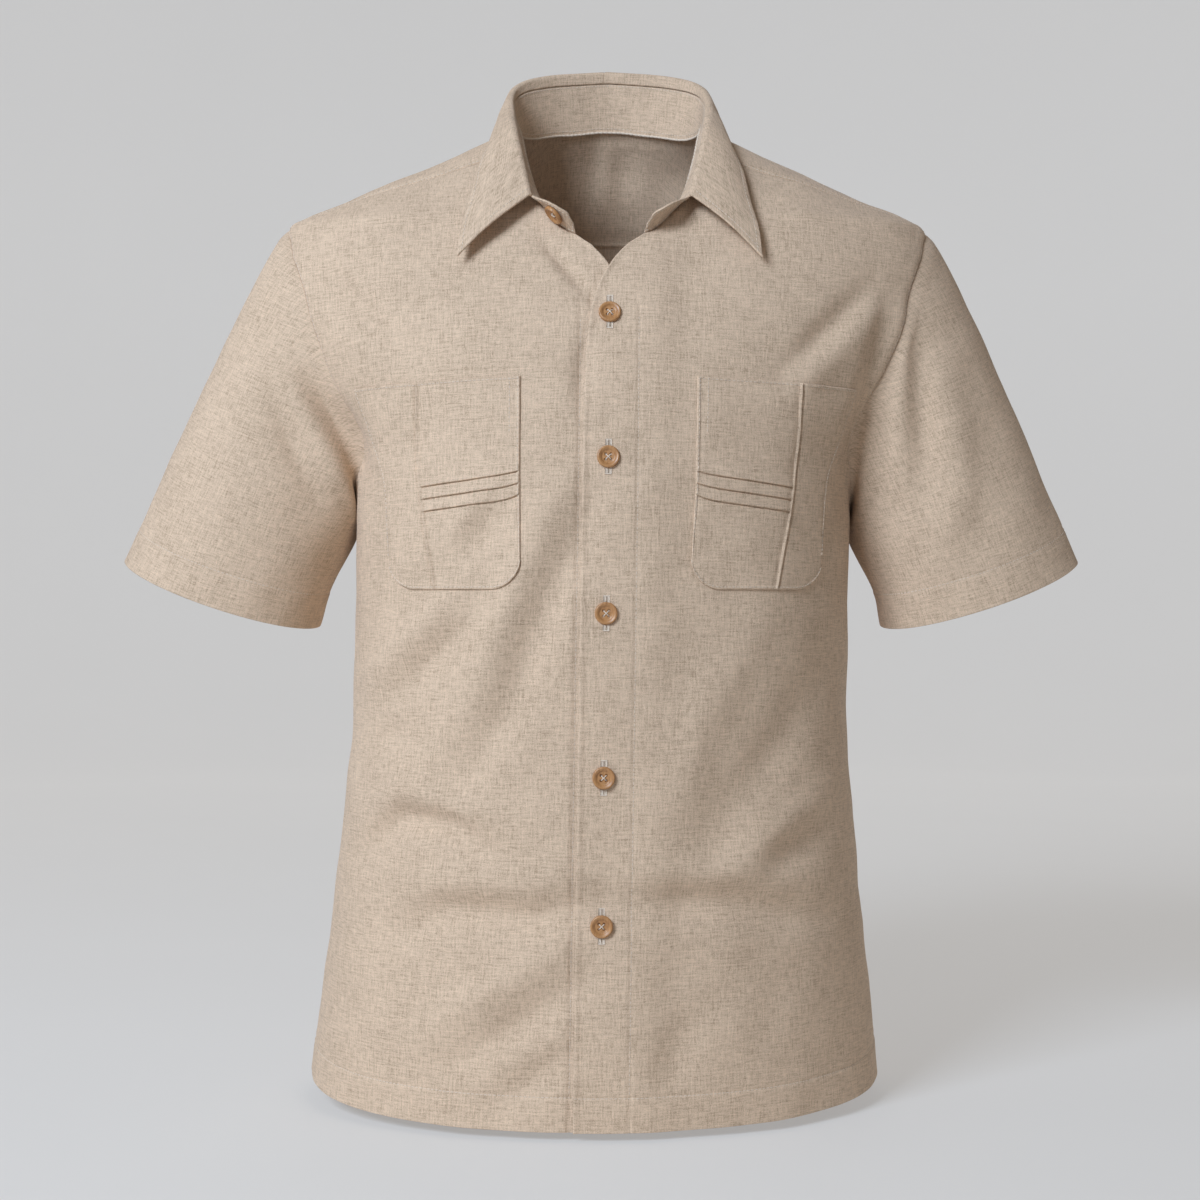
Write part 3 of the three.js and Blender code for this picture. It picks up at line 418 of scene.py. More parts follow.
def fold_depth(points, normals):
    """Depth of all folds: each is a bell across its line, deepest half way along it, and
    counts only on cloth that faces its way. The distance is that of the nearest segment."""
    x, z = points[..., 0], points[..., 2]
    depth = np.zeros(x.shape)
    for face, deep, width, line in FOLDS:
        line = np.array(line, float)
        step = np.diff(line, axis=0)
        size = np.hypot(step[:, 0], step[:, 1])
        offset, along, passed = np.full(x.shape, 1e9), np.zeros(x.shape), 0.0
        for (x1, z1), (dx, dz), length in zip(line, step, size):
            t = np.clip(((x - x1) * dx + (z - z1) * dz) / length**2, 0, 1)
            away = np.hypot(x - x1 - dx * t, z - z1 - dz * t)
            along = np.where(away < offset, (passed + t * length) / size.sum(), along)
            offset = np.minimum(offset, away)
            passed += length
        across = np.exp(-((offset / width) ** 2) / 2)
        facing = ease(normals[..., 1] * face, 0, 0.4)
        depth += facing * deep * across * mix(FOLD_END, 1, np.sin(math.pi * along))
    return depth


def soft_noise(points, size, seed, waves=10):
    """Gentle unevenness: mean of sine waves of about one length in random directions."""
    draw = np.random.default_rng(seed)
    rate = unit(draw.normal(size=(waves, 3))) * (2 * math.pi / size)
    rate *= draw.uniform(0.65, 1.5, (waves, 1))
    return 1.7 * np.sin(points @ rate.T + draw.uniform(0, 2 * math.pi, waves)).mean(-1)


def unevenness(points):
    """Small waves all over the cloth: three sizes of soft noise added up."""
    wide, middle, small = (soft_noise(points, size, seed) for size, seed in ((85, 3), (34, 5), (15, 8)))
    return 1.15 * wide + 0.42 * middle + 0.09 * small


def body_cloth(theta, z, lift=0.0):
    """Body oval, its normal and how far the cloth stands off it: the lift less the folds."""
    base, normal = body_point(theta, z), body_normal(theta, z)
    return base, normal, lift - fold_depth(base, normal) + unevenness(base)


def neckline(psi):
    """Angle and height of the neck opening: a plan oval, raised onto the body."""
    s, c = np.sin(np.radians(psi)), np.cos(np.radians(psi))
    n = np.where(c > 0, NECK["square"], 2)
    r = (np.abs(s) ** n + np.abs(c) ** n) ** (-1 / n)
    x = NECK["half"] * s * r
    y = NECK["y"] - np.where(c > 0, NECK["front"], NECK["back"]) * c * r
    z = height_of(x, y)
    angle = theta_of_y(y, z)
    return np.where(x < 0, 2 * math.pi - angle, angle), z


def armhole(step):
    """Angle and height of the wearer's left armhole: an oval seen from the side."""
    phi = np.radians(np.asarray(step, float) * ARMHOLE["step"])
    z = ARMHOLE["z"] + ARMHOLE["half"] * np.cos(phi)
    reach = np.where(np.sin(phi) > 0, ARMHOLE["front"], ARMHOLE["back"])
    return theta_of_y(ARMHOLE["y"] - reach * np.sin(phi), z), z


def side_edge(skirt_row, arm_step):
    """Armhole edge of a panel above the armpit, and its side seam below it."""
    arm_theta, arm_z = armhole(arm_step)
    top_theta, top_z = armhole(12)
    t = np.maximum(skirt_row, 0) / SKIRT_ROWS
    theta = np.where(skirt_row <= 0, arm_theta, mix(top_theta, math.pi / 2, np.minimum(1, 2 * t)))
    return theta, np.where(skirt_row <= 0, arm_z, mix(top_z, HEM["side"], t))


def front_grid(side, row, column):
    """Front panel: between the neckline and lapped edge, and the armhole and side seam, rows
    are mixed by the share of the way across, with straight rows over the lap."""
    row, column = row[:, None], column[None, :]
    neck_theta, neck_z = neckline(mix(NECK["shoulder"], NECK["tip"], np.minimum(1, row / NECK_ROWS)))
    rows = ARM_ROWS_FRONT + SKIRT_ROWS
    stops = [NECK_ROWS, *range(NECK_ROWS + 1, NECK_ROWS + 9), rows]
    heights = [neckline(np.array(NECK["tip"]))[1], *FRONT_EDGE_ROWS, HEM["front"]]
    edge_z = np.where(row <= NECK_ROWS, neck_z, np.interp(row, stops, heights))
    first = theta_of_x(edge_x_at(float(FRONT_EDGE_ROWS[0])), FRONT_EDGE_ROWS[0])
    joined = mix(neckline(np.array(NECK["tip"]))[0], first, np.clip(row - NECK_ROWS, 0, 1))
    edge_theta = np.where(row < NECK_ROWS + 1, joined, theta_of_x(edge_x_at(edge_z), edge_z))
    edge_theta = np.where(row <= NECK_ROWS, neck_theta, edge_theta)
    far_theta, far_z = side_edge(row - ARM_ROWS_FRONT, row + 1)
    settled = np.minimum(1, row / (NECK_ROWS + 2))
    lap_x = body_point(edge_theta, edge_z)[..., 0] + 2 * LAP
    lap_share = (theta_of_x(lap_x, edge_z) - edge_theta) / (far_theta - edge_theta)
    even = column / FRONT_COLUMNS
    past_lap = np.maximum(0, (column - 2) / (FRONT_COLUMNS - 2))
    on_lap = np.minimum(1, column / 2)
    share = mix(even, lap_share * on_lap + (1 - lap_share) * past_lap, settled)
    z = mix(edge_z, far_z, mix(even, past_lap ** (1 + ROW_CURVE * row / rows), settled))
    theta = mix(edge_theta, far_theta, share)
    return side * theta, z


def lap_lift(theta, z):
    """How far the wearer's left front stands over the right one, easing off past the lap."""
    x = body_point(theta, z)[..., 0]
    down = ease(-z, -LAP_LIFT["start"], -LAP_LIFT["full"])
    return LAP_LIFT["height"] * down * (1 - ease(x, LAP_LIFT["near"], LAP_LIFT["far"]))


def front_cloth(side, theta, z):
    """Cloth of a front, with the lap's lift on the wearer's left and the facing's stitch line."""
    lift = lap_lift(theta, z) if side > 0 else 0.0
    base, normal, away = body_cloth(theta, z, lift)
    down, beside = ease(-z, 118, 150), base[..., 0] * side
    away = away - 0.6 * down * bell(beside, FACING_X, 1.1)
    away = away + 0.2 * down * (1 - ease(beside, FACING_X - 1, FACING_X + 1))
    if side < 0:
        away = away - 0.9 * ease(-z, 100, 116) * bell(base[..., 0], edge_x_at(z) - 1.2, 3.2)
    return base, normal, away


def back_grid(row, column):
    """Back panel: rows bow from the centre back to the armholes and side seams by the square
    of the share of the way out."""
    row, column = row[:, None], column[None, :]
    edge_theta, edge_z = side_edge(row - ARM_ROWS_BACK, -3 - row)
    centre_z = mix(YOKE_SEAM_Z, HEM["back"], row / (ARM_ROWS_BACK + SKIRT_ROWS))
    u = 2 * column / BACK_COLUMNS - 1
    return math.pi + u * (math.pi - edge_theta), mix(centre_z, edge_z, u * u)


def yoke_grid(row, column):
    """Yoke: straight mixes of angle and height from the neckline out to its outer edge, which
    runs over one armhole, along the back seam and over the other armhole."""
    psi = np.interp(column, YOKE_STOPS, YOKE_NECK)
    neck_theta, neck_z = neckline(psi)
    last = YOKE_STOPS[-1]
    near = np.minimum(column, last - column)
    arm_theta, arm_z = armhole(1 - near)
    arm_theta = np.where(column > last / 2, 2 * math.pi - arm_theta, arm_theta)
    seam_theta, seam_z = back_grid(np.zeros(1), np.clip(column - 4, 0, BACK_COLUMNS))
    over_arm = near <= 4
    out_theta = np.where(over_arm, arm_theta, seam_theta[0])
    out_z = np.where(over_arm, arm_z, seam_z[0])
    t = row[:, None] / FRONT_COLUMNS
    return mix(neck_theta, out_theta, t), mix(neck_z, out_z, t)


def sleeve_point(side, angle, t):
    """Sleeve: each point of the armhole is carried to the same angle of the cuff's oval on a
    Hermite cubic, with a leaving and an arriving direction."""
    theta, z = armhole(angle / ARMHOLE["step"])
    c, s = np.cos(np.radians(angle)), np.sin(np.radians(angle))
    start = body_point(theta, z)
    end = CUFF["centre"] + c[..., None] * CUFF["across"] + s[..., None] * CUFF["front"]
    leave_z = SLEEVE_LEAVE["z"] + SLEEVE_LEAVE["z_top"] * c
    leave = np.stack([0 * c + SLEEVE_LEAVE["x"], SLEEVE_LEAVE["y"] * s, leave_z], -1)
    meet_z = SLEEVE_MEET["z"] + SLEEVE_MEET["z_top"] * c
    meet = np.stack([SLEEVE_MEET["x"] + SLEEVE_MEET["x_top"] * c, 0 * c, meet_z], -1)
    t = np.asarray(t, float)[..., None]
    u = 1 - t
    point = start * u * u * (1 + 2 * t) + end * t * t * (3 - 2 * t) + leave * t * u * u - meet * t * t * u
    return point * np.array([side, 1, 1])


def table_point(table):
    """Point of a collar table at an angle, mirrored past the centre back."""
    curves = [curve_of(table[:, 0], table[:, k]) for k in (1, 2, 3)]

    def point(psi):
        x, y, z = (curve(mirrored(psi)) for curve in curves)
        return np.stack([np.where(psi > 180, -x, x), y, z], -1)

    return point


roll_point, tab_point, fall_edge = (table_point(t) for t in (COLLAR_ROLL, COLLAR_TAB, COLLAR_EDGE))


def neck_raise(psi):
    """How far the neck seam is drawn up beside the centre back."""
    rise = NECK_RAISE["height"] * bell(mirrored(psi), NECK_RAISE["psi"], NECK_RAISE["width"])
    return np.stack([0 * rise, 0 * rise, rise], -1)


def neck_edge(psi):
    """Outer point of the body's cloth at the neck seam, and its normal."""
    base, normal, away = body_cloth(*neckline(psi))
    return base + normal * away[..., None] + neck_raise(psi), normal


def stand_top(psi):
    """Top of the collar stand: a share of the way up to the roll, or the tab's edge in front."""
    folded = mirrored(psi)
    risen = mix(neck_edge(psi)[0], roll_point(psi), rise_at(folded)[..., None])
    return np.where((folded < COLLAR_END)[..., None], tab_point(psi), risen)


def stand_point(psi, share):
    """Collar stand: straight from the neck seam to its top."""
    return mix(neck_edge(psi)[0], stand_top(psi), np.asarray(share, float)[..., None])


def stand_normal(psi, share):
    """Outward unit normal of the collar stand."""
    return normal_of(stand_point, np.clip(psi, 21, 339), share, 0.5, 0.02)


def fall_profile(psi, thickness):
    """Collar fall: for each angle a straight leg up the neck side, an arc over the roll and a
    slightly bowed leg down to the free edge. Returns points and outward normals."""
    normal, top = stand_normal(psi, np.ones(len(psi))), stand_top(psi)
    up = unit(top - neck_edge(psi)[0])
    start = top - normal * thickness + up * SEAM_GAP
    height = np.maximum(0.6, np.linalg.norm(roll_point(psi) - top, axis=-1) - ROLL_RADIUS)
    turn_start = start + up * height[:, None]
    down = unit(fall_edge(psi) - turn_start)
    dot = (down * up).sum(-1, keepdims=True)
    outward = unit(down - up * dot)
    turn = np.arccos(np.clip(dot, -1, 1))
    centre = turn_start + outward * ROLL_RADIUS
    legs = np.linspace(0, 1, 6)[:-1]
    angles = np.linspace(0, 1, 13)[None, :] * turn
    arm = np.sin(angles)[..., None] * up[:, None] - np.cos(angles)[..., None] * outward[:, None]
    rising = start[:, None] + (up * height[:, None])[:, None] * legs[None, :, None]
    over = centre[:, None] + arm * ROLL_RADIUS
    t = spread(34, (0, 1), near=0.012)[1:]
    across = arm[:, -1:]
    falling = mix(over[:, -1:], fall_edge(psi)[:, None], t[None, :, None])
    falling = falling + across * (LEG_BOW * np.sin(math.pi * t))[None, :, None]
    points = np.concatenate([rising, over, falling], 1)
    inward = np.repeat(-normal[:, None], len(legs), 1)
    return points, unit(np.concatenate([inward, arm, np.repeat(across, len(t), 1)], 1))


def spread(count, ends, near=0.0, marks=()):
    """Even parameters between two ends, with three closer ones at each end and round marks."""
    low, high = ends
    values = [np.linspace(low, high, count)]
    if near:
        close = np.array([1, 2.2, 4.2]) * near
        values += [low + close, high - close]
    for at, step in marks:
        values.append(at + step * np.arange(-3, 4))
    values = np.unique(np.round(np.concatenate(values), 6))
    keep = np.concatenate([[True], np.diff(values) > 1e-4 * (high - low)])
    return values[keep & (values >= low) & (values <= high)]


def lengths(points, axis):
    """Length along the grid lines from their first point."""
    step = np.linalg.norm(np.diff(points, axis=axis), axis=-1)
    total = np.cumsum(step, axis)
    return np.concatenate([np.zeros_like(np.take(total, [0], axis)), total], axis)


def from_sides(points):
    """Distance of each grid point from the four sides, measured along the grid lines."""
    across, down = lengths(points, 1), lengths(points, 0)
    return {
        "left": across,
        "right": across[:, -1:] - across,
        "top": down,
        "bottom": down[-1:] - down,
    }


def seam_relief(distance):
    """Sewn edge: pinched at the seam and padded by the allowance under the first 9 mm."""
    return -0.9 * bell(distance, 0, 1.5) + 0.4 * ease(distance, 0.5, 3) * (1 - ease(distance, 8, 11))


def hem_relief(distance, deep):
    """Turned hem: a second layer up to its stitch line, and a pinch along that line."""
    return 0.3 * (1 - ease(distance, deep - 0.6, deep + 0.8)) - 0.55 * bell(distance, deep, 1.1)


def pucker(points, distance, reach, size=8.0):
    """Ripples along a seam: fine noise that dies away with the distance from it."""
    return soft_noise(points, size, 21) * np.exp(-np.abs(distance) / reach)


class Cloth:
    """A panel of cloth: its outer points and normals as a grid, and its weave coordinates."""

    def __init__(self, points, normals, weave, ring=False):
        self.points = points + np.stack([SWAY * points[..., 2], 0 * points[..., 0], 0 * points[..., 0]], -1)
        self.normals, self.weave, self.ring = normals, weave, ring

    def closed(self, grid):
        """The grid with its first column again at the end, if the panel is a ring."""
        return np.concatenate([grid, grid[:, :1]], 1) if self.ring else grid

    def flat(self, allowance):
        """Size and area of the flat cut in metres: longest lines of the grid and the sum of its
        cells, with an allowance along the edges."""
        points = self.closed(self.points)
        across, down = lengths(points, 1)[:, -1].max(), lengths(points, 0)[-1].max()
        one = np.cross(points[1:, 1:] - points[:-1, :-1], points[1:, :-1] - points[:-1, 1:])
        area = np.linalg.norm(one, axis=-1).sum() / 2
        width, length = (across + 2 * allowance) * MM, (down + 2 * allowance) * MM
        return (width, length), min((area + 2 * allowance * (across + down)) * MM * MM, width * length)

    def line(self, side, distance, inside=0.0, start=0.0, stop=1.0):
        """Line at a set distance from one side: on each grid line that leaves the side, the
        place where the length from the side reaches the distance. inside puts it on the inner
        face of cloth of that thickness."""
        points, normals = self.closed(self.points), self.closed(self.normals)
        if side in ("top", "bottom"):
            points, normals = points.swapaxes(0, 1), normals.swapaxes(0, 1)
        if side in ("right", "bottom"):
            points, normals = points[:, ::-1], normals[:, ::-1]
        length = lengths(points, 1)
        i = np.clip((length <= distance).sum(1) - 1, 0, length.shape[1] - 2)
        k = np.arange(len(points))
        t = ((distance - length[k, i]) / (length[k, i + 1] - length[k, i]))[:, None]
        path, up = mix(points[k, i], points[k, i + 1], t), unit(mix(normals[k, i], normals[k, i + 1], t))
        part = slice(int(start * len(path)), int(stop * len(path)))
        if inside:
            path, up = path - up * inside, -up
        return path[part], up[part]


def wall(cloth, thickness):
    """Closed wall of a panel: its outer grid, the same grid moved in by the thickness, and a
    rounded rim through the middle of the edge. Returns points, quads and their weave marks."""
    outer = cloth.points
    rows, columns = outer.shape[:2]
    thick = np.broadcast_to(thickness, (rows, columns))[..., None]
    face = outer.copy()
    for near, beyond in ((0, 1), (-1, -2)):
        sides = [((near,), (beyond,))]
        if not cloth.ring:
            sides.append(((slice(None), near), (slice(None), beyond)))
        for here, there in sides:
            step = outer[there] - outer[here]
            size = np.linalg.norm(step, axis=-1, keepdims=True)
            face[here] += step / np.maximum(size, 1e-9) * np.minimum(thick[here] / 2, 0.45 * size)
    inner = face - cloth.normals * thick
    middle = (outer - cloth.normals * thick / 2).reshape(-1, 3)
    ids = cloth.closed(np.arange(rows * columns).reshape(rows, columns))
    marks = np.arange(ids.size).reshape(ids.shape)
    if cloth.ring:
        borders = [(ids[0], marks[0]), (ids[-1, ::-1], marks[-1, ::-1])]
    else:
        borders = [tuple(around(grid) for grid in (ids, marks))]
    count = rows * columns
    quads = [cells(ids), cells(ids)[:, ::-1] + count]
    seen = [cells(marks), cells(marks)[:, ::-1]]
    extra, used = [], 2 * count
    for border, mark in borders:
        rim = used + np.arange(len(border) - 1)
        rim = np.append(rim, rim[0])
        extra.append(middle[border[:-1]])
        used += len(border) - 1
        quads.append(np.stack([border[1:], border[:-1], rim[:-1], rim[1:]], 1))
        quads.append(np.stack([rim[1:], rim[:-1], border[:-1] + count, border[1:] + count], 1))
        seen += [np.stack([mark[1:], mark[:-1], mark[:-1], mark[1:]], 1)] * 2
    points = np.concatenate([face.reshape(-1, 3), inner.reshape(-1, 3), *extra])
    quads, seen = np.concatenate(quads), np.concatenate(seen)
    first = quads[: len(cells(ids))]
    turned = np.cross(points[first[:, 2]] - points[first[:, 0]], points[first[:, 3]] - points[first[:, 1]])
    if (turned * cloth.normals.reshape(-1, 3)[first[:, 0]]).sum() < 0:
        quads, seen = quads[:, ::-1], seen[:, ::-1]
    return points, quads, seen


def cells(ids):
    """Corners of the cells of a grid of numbers."""
    return np.stack([ids[:-1, :-1], ids[:-1, 1:], ids[1:, 1:], ids[1:, :-1]], -1).reshape(-1, 4)


def ring_cells(ids):
    """Corners of the cells of a grid of numbers whose last column meets its first."""
    return cells(np.concatenate([ids, ids[:, :1]], 1))


def around(grid):
    """Numbers round the border of a grid, closed."""
    loop = np.concatenate([grid[0], grid[1:, -1], grid[-1, -2::-1], grid[-2:0:-1, 0]])
    return np.append(loop, loop[0])


def make_mesh(name, points, faces, material, weave=None, marks=None):
    """Mesh object at the origin from points in millimetres and lists of faces."""
    mesh = bpy.data.meshes.new(name)
    faces = [np.ascontiguousarray(face, np.int32) for face in faces]
    corners = np.concatenate([face.ravel() for face in faces])
    sizes = np.concatenate([np.full(len(face), face.shape[1]) for face in faces])
    mesh.vertices.add(len(points))
    mesh.vertices.foreach_set("co", (points * MM).astype(np.float32).ravel())
    mesh.loops.add(len(corners))
    mesh.loops.foreach_set("vertex_index", corners)
    mesh.polygons.add(len(sizes))
    mesh.polygons.foreach_set("loop_start", (np.cumsum(sizes) - sizes).astype(np.int32))
    if weave is not None:
        layer = mesh.uv_layers.new(name="weave")
        layer.data.foreach_set("uv", weave.reshape(-1, 2)[marks.ravel()].astype(np.float32).ravel())
    mesh.update(calc_edges=True)
    mesh.validate()
    mesh.shade_smooth()
    mesh.materials.append(material)
    piece = bpy.data.objects.new(name, mesh)
    bpy.context.scene.collection.objects.link(piece)
    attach(piece, "root")
    return piece


def make_cloth(name, node, cloth, thickness, stitches=(), allowance=None):
    """Cloth piece that stands for a solid, and its rows of stitches. The size and area of its flat cut are
    worked out, with the usual allowance round it unless another one is given, and then not used."""
    points, quads, marks = wall(cloth, thickness)
    piece = make_mesh(name, points, [quads], linen(), cloth.weave * MM, marks)
    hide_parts(node)
    threads = [make_stitches("stitches_" + node, stitches)] if stitches else []
    usual = bpy.context.scene.shirt_cloth.allowance / MM
    flat, area = cloth.flat(usual if allowance is None else allowance)
    return piece


def stitch_row(line, normals):
    """Row of stitches along a line: spindles of six sides, evenly spaced by length, whose
    middle stands on the cloth and whose ends dip into it."""
    sewing = bpy.context.scene.shirt_sewing
    pitch, long, wide = sewing.pitch / MM, sewing.length / MM, sewing.width / MM
    length = np.concatenate([[0], np.cumsum(np.linalg.norm(np.diff(line, axis=0), axis=1))])
    at = np.arange(pitch / 2, length[-1] - pitch / 2, pitch)
    shares, radii = np.array([-0.5, -0.3, 0.3, 0.5]), np.array([0.02, 0.5, 0.5, 0.02]) * wide
    rise = np.array([-0.25, 0.12, 0.12, -0.25]) * wide
    s = at[:, None] + shares[None] * long
    centre = np.stack([np.interp(s, length, line[:, k]) for k in range(3)], -1)
    up = unit(np.stack([np.interp(s, length, normals[:, k]) for k in range(3)], -1))
    along = unit(centre[:, -1:] - centre[:, :1])
    beside = unit(np.cross(up, along))
    centre = centre + up * rise[None, :, None]
    angle = np.arange(6) * math.pi / 3
    ring = np.cos(angle)[:, None] * beside[:, :, None] + np.sin(angle)[:, None] * up[:, :, None]
    points = centre[:, :, None] + ring * radii[None, :, None, None]
    ids = np.arange(24).reshape(4, 6)
    tube, caps = ring_cells(ids)[:, ::-1], np.stack([ids[0], ids[-1, ::-1]])
    start = 24 * np.arange(len(at))[:, None, None]
    return points.reshape(-1, 3), (start + tube).reshape(-1, 4), (start + caps).reshape(-1, 6)


def make_stitches(name, rows):
    """All rows of stitches of a panel, joined as one mesh."""
    points, quads, caps = joined([stitch_row(line, normals) for line, normals in rows])
    piece = make_mesh(name, points, [outward(points, quads), *caps], thread())
    return piece


def joined(parts):
    """Parts of points, quads and caps as one: the caps come as one list of faces for each
    number of corners."""
    points, quads, caps, used = [], [], {}, 0
    for more, four, ends in parts:
        points.append(more)
        quads.append(four + used)
        caps.setdefault(ends.shape[1], []).append(ends + used)
        used += len(more)
    groups = [np.concatenate(group) for group in caps.values()]
    return np.concatenate(points), np.concatenate(quads), groups


def outward(points, quads):
    """Quads turned so that the volume they enclose counts as positive."""
    a, b, c, d = (points[quads[:, k]] for k in range(4))
    volume = (a * np.cross(b, c)).sum() + (a * np.cross(c, d)).sum()
    return quads if volume > 0 else quads[:, ::-1]


def rope(line, radius, sides=10):
    """Tube along a line: a circle of changing radius, carried in the plane across the line,
    with its ends drawn to a point."""
    along = unit(np.gradient(line, axis=0))
    beside = unit(np.cross(along, np.array([0.0, 0.0, 1.0]) + 1e-3))
    up = np.cross(beside, along)
    angle = np.arange(sides) * 2 * math.pi / sides
    ring = np.cos(angle)[:, None] * beside[:, None] + np.sin(angle)[:, None] * up[:, None]
    points = line[:, None] + ring * np.asarray(radius)[:, None, None]
    ids = np.arange(len(line) * sides).reshape(-1, sides)
    quads = ring_cells(ids)
    return points.reshape(-1, 3), outward(points.reshape(-1, 3), quads), np.stack([ids[0, ::-1], ids[-1]])


def node_of(tree, kind, **inputs):
    """Shader node with its inputs set to values or linked to sockets."""
    node = tree.nodes.new(kind)
    for name, value in inputs.items():
        socket = node.inputs[name.replace("_", " ")]
        if isinstance(value, bpy.types.NodeSocket):
            tree.links.new(value, socket)
        else:
            socket.default_value = value
    return node


def weighted(tree, parts, start):
    """Sum of sockets times weights, as a chain of multiply-add nodes."""
    total = start
    for socket, weight in parts:
        node = tree.nodes.new("ShaderNodeMath")
        node.operation = "MULTIPLY_ADD"
        tree.links.new(socket, node.inputs[0])
        node.inputs[1].default_value = weight
        if isinstance(total, bpy.types.NodeSocket):
            tree.links.new(total, node.inputs[2])
        else:
            node.inputs[2].default_value = total
        total = node.outputs[0]
    return total


def colours_between(tree, factor, stops):
    """Colour ramp over a factor, with stops of place and colour."""
    ramp = tree.nodes.new("ShaderNodeValToRGB")
    tree.links.new(factor, ramp.inputs["Fac"])
    elements = ramp.color_ramp.elements
    elements[0].position, elements[0].color = stops[0][0], (*stops[0][1], 1)
    elements[1].position, elements[1].color = stops[-1][0], (*stops[-1][1], 1)
    for place, colour in stops[1:-1]:
        elements.new(place).color = (*colour, 1)
    return ramp.outputs["Color"]


def start_material(name):
    """Empty node material and its shader, or None if it is there already."""
    if name in bpy.data.materials:
        return bpy.data.materials[name], None
    material = bpy.data.materials.new(name)
    material.use_nodes = True
    return material, material.node_tree.nodes["Principled BSDF"]


def linen():
    """Plain-woven linen: threads both ways, uneven slubs both ways and a faint mottle, read
    from the weave coordinates so that they follow the cloth."""
    material, shader = start_material("woven_linen")
    if shader is None:
        return material
    cloth = bpy.context.scene.shirt_cloth
    tree = material.node_tree
    place = tree.nodes.new("ShaderNodeUVMap")
    place.uv_map = "weave"

    def streaks(scale, detail):
        mapped = node_of(tree, "ShaderNodeMapping", Vector=place.outputs["UV"], Scale=scale)
        noise = node_of(
            tree, "ShaderNodeTexNoise", Vector=mapped.outputs[0], Scale=1.0, Detail=detail, Roughness=0.6
        )
        return noise.outputs["Fac"]

    warp, weft = streaks((900, 120, 1), 3.0), streaks((110, 860, 1), 3.0)
    long_warp, long_weft = streaks((560, 30, 1), 2.0), streaks((26, 520, 1), 2.0)
    mottle, grain = streaks((26, 24, 1), 3.0), streaks((1300, 1300, 1), 1.0)
    tones = [(warp, 1.25), (weft, 1.25), (long_warp, 0.45), (long_weft, 0.45), (mottle, 0.45), (grain, 1.2)]
    shade = weighted(tree, tones, 0.5 - 0.5 * sum(weight for _, weight in tones))
    base = np.array(cloth.colour)
    dark = base * cloth.dark_thread * [1, 0.95, 0.88]
    stops = ((0.0, dark), (0.5, base), (1.0, np.minimum(base * cloth.light_thread, 1)))
    tree.links.new(colours_between(tree, shade, stops), shader.inputs["Base Color"])
    threads = []
    for direction in ("X", "Y"):
        wave = tree.nodes.new("ShaderNodeTexWave")
        wave.bands_direction = direction
        tree.links.new(place.outputs["UV"], wave.inputs["Vector"])
        wave.inputs["Scale"].default_value = 2 * math.pi / 20 / cloth.thread_pitch
        wave.inputs["Distortion"].default_value = 1.2
        wave.inputs["Detail Scale"].default_value = 0.4
        threads.append(wave.outputs["Fac"])
    raised = [(warp, 0.8), (weft, 0.8), (long_warp, 0.5), (long_weft, 0.5)]
    height = weighted(tree, raised + [(wave, 0.25) for wave in threads], 0.0)
    bump = node_of(tree, "ShaderNodeBump", Height=height, Strength=cloth.relief, Distance=0.0006)
    tree.links.new(bump.outputs["Normal"], shader.inputs["Normal"])
    shader.inputs["Roughness"].default_value = 0.9
    shader.inputs["Sheen Weight"].default_value = 0.12
    shader.inputs["Sheen Roughness"].default_value = 0.5
    shader.inputs["Specular IOR Level"].default_value = 0.2
    return material


def thread():
    """Sewing thread: the cloth's colour, a little lighter, with a fine twist."""
    material, shader = start_material("sewing_thread")
    if shader is None:
        return material
    tree = material.node_tree
    place = tree.nodes.new("ShaderNodeTexCoord")
    noise = node_of(tree, "ShaderNodeTexNoise", Vector=place.outputs["Object"], Scale=2600.0, Detail=2.0)
    base = np.array(bpy.context.scene.shirt_sewing.colour)
    stops = ((0.25, base * 0.8), (0.75, np.minimum(base * 1.12, 1)))
    tree.links.new(colours_between(tree, noise.outputs["Fac"], stops), shader.inputs["Base Color"])
    bump = node_of(tree, "ShaderNodeBump", Height=noise.outputs["Fac"], Strength=0.3, Distance=0.0002)
    tree.links.new(bump.outputs["Normal"], shader.inputs["Normal"])
    shader.inputs["Roughness"].default_value = 0.75
    return material


def polished_wood():
    """Honey-brown wood with drawn-out darker grain under a soft polish."""
    material, shader = start_material("polished_wood")
    if shader is None:
        return material
    buttons = bpy.context.scene.shirt_buttons
    tree = material.node_tree
    place = tree.nodes.new("ShaderNodeTexCoord")
    here = place.outputs["Object"]
    mapped = node_of(
        tree, "ShaderNodeMapping", Vector=here, Scale=(1500, 300, 180), Rotation=(0.2, 0.5, 0.35)
    )
    grain = node_of(
        tree, "ShaderNodeTexNoise", Vector=mapped.outputs[0], Scale=1.0, Detail=4.0, Distortion=0.6
    )
    fleck = node_of(tree, "ShaderNodeTexNoise", Vector=here, Scale=420.0, Detail=2.0)
    shade = weighted(tree, [(grain.outputs["Fac"], 1.0), (fleck.outputs["Fac"], 0.4)], -0.2)
    light, dark = np.array(buttons.colour), np.array(buttons.grain_colour)
    stops = ((0.2, dark), (0.5, mix(dark, light, 0.65)), (0.8, light))
    tree.links.new(colours_between(tree, shade, stops), shader.inputs["Base Color"])
    bump = node_of(tree, "ShaderNodeBump", Height=grain.outputs["Fac"], Strength=0.15, Distance=0.0002)
    tree.links.new(bump.outputs["Normal"], shader.inputs["Normal"])
    shader.inputs["Roughness"].default_value = 0.42
    shader.inputs["Coat Weight"].default_value = 0.15
    shader.inputs["Coat Roughness"].default_value = 0.3
    return material


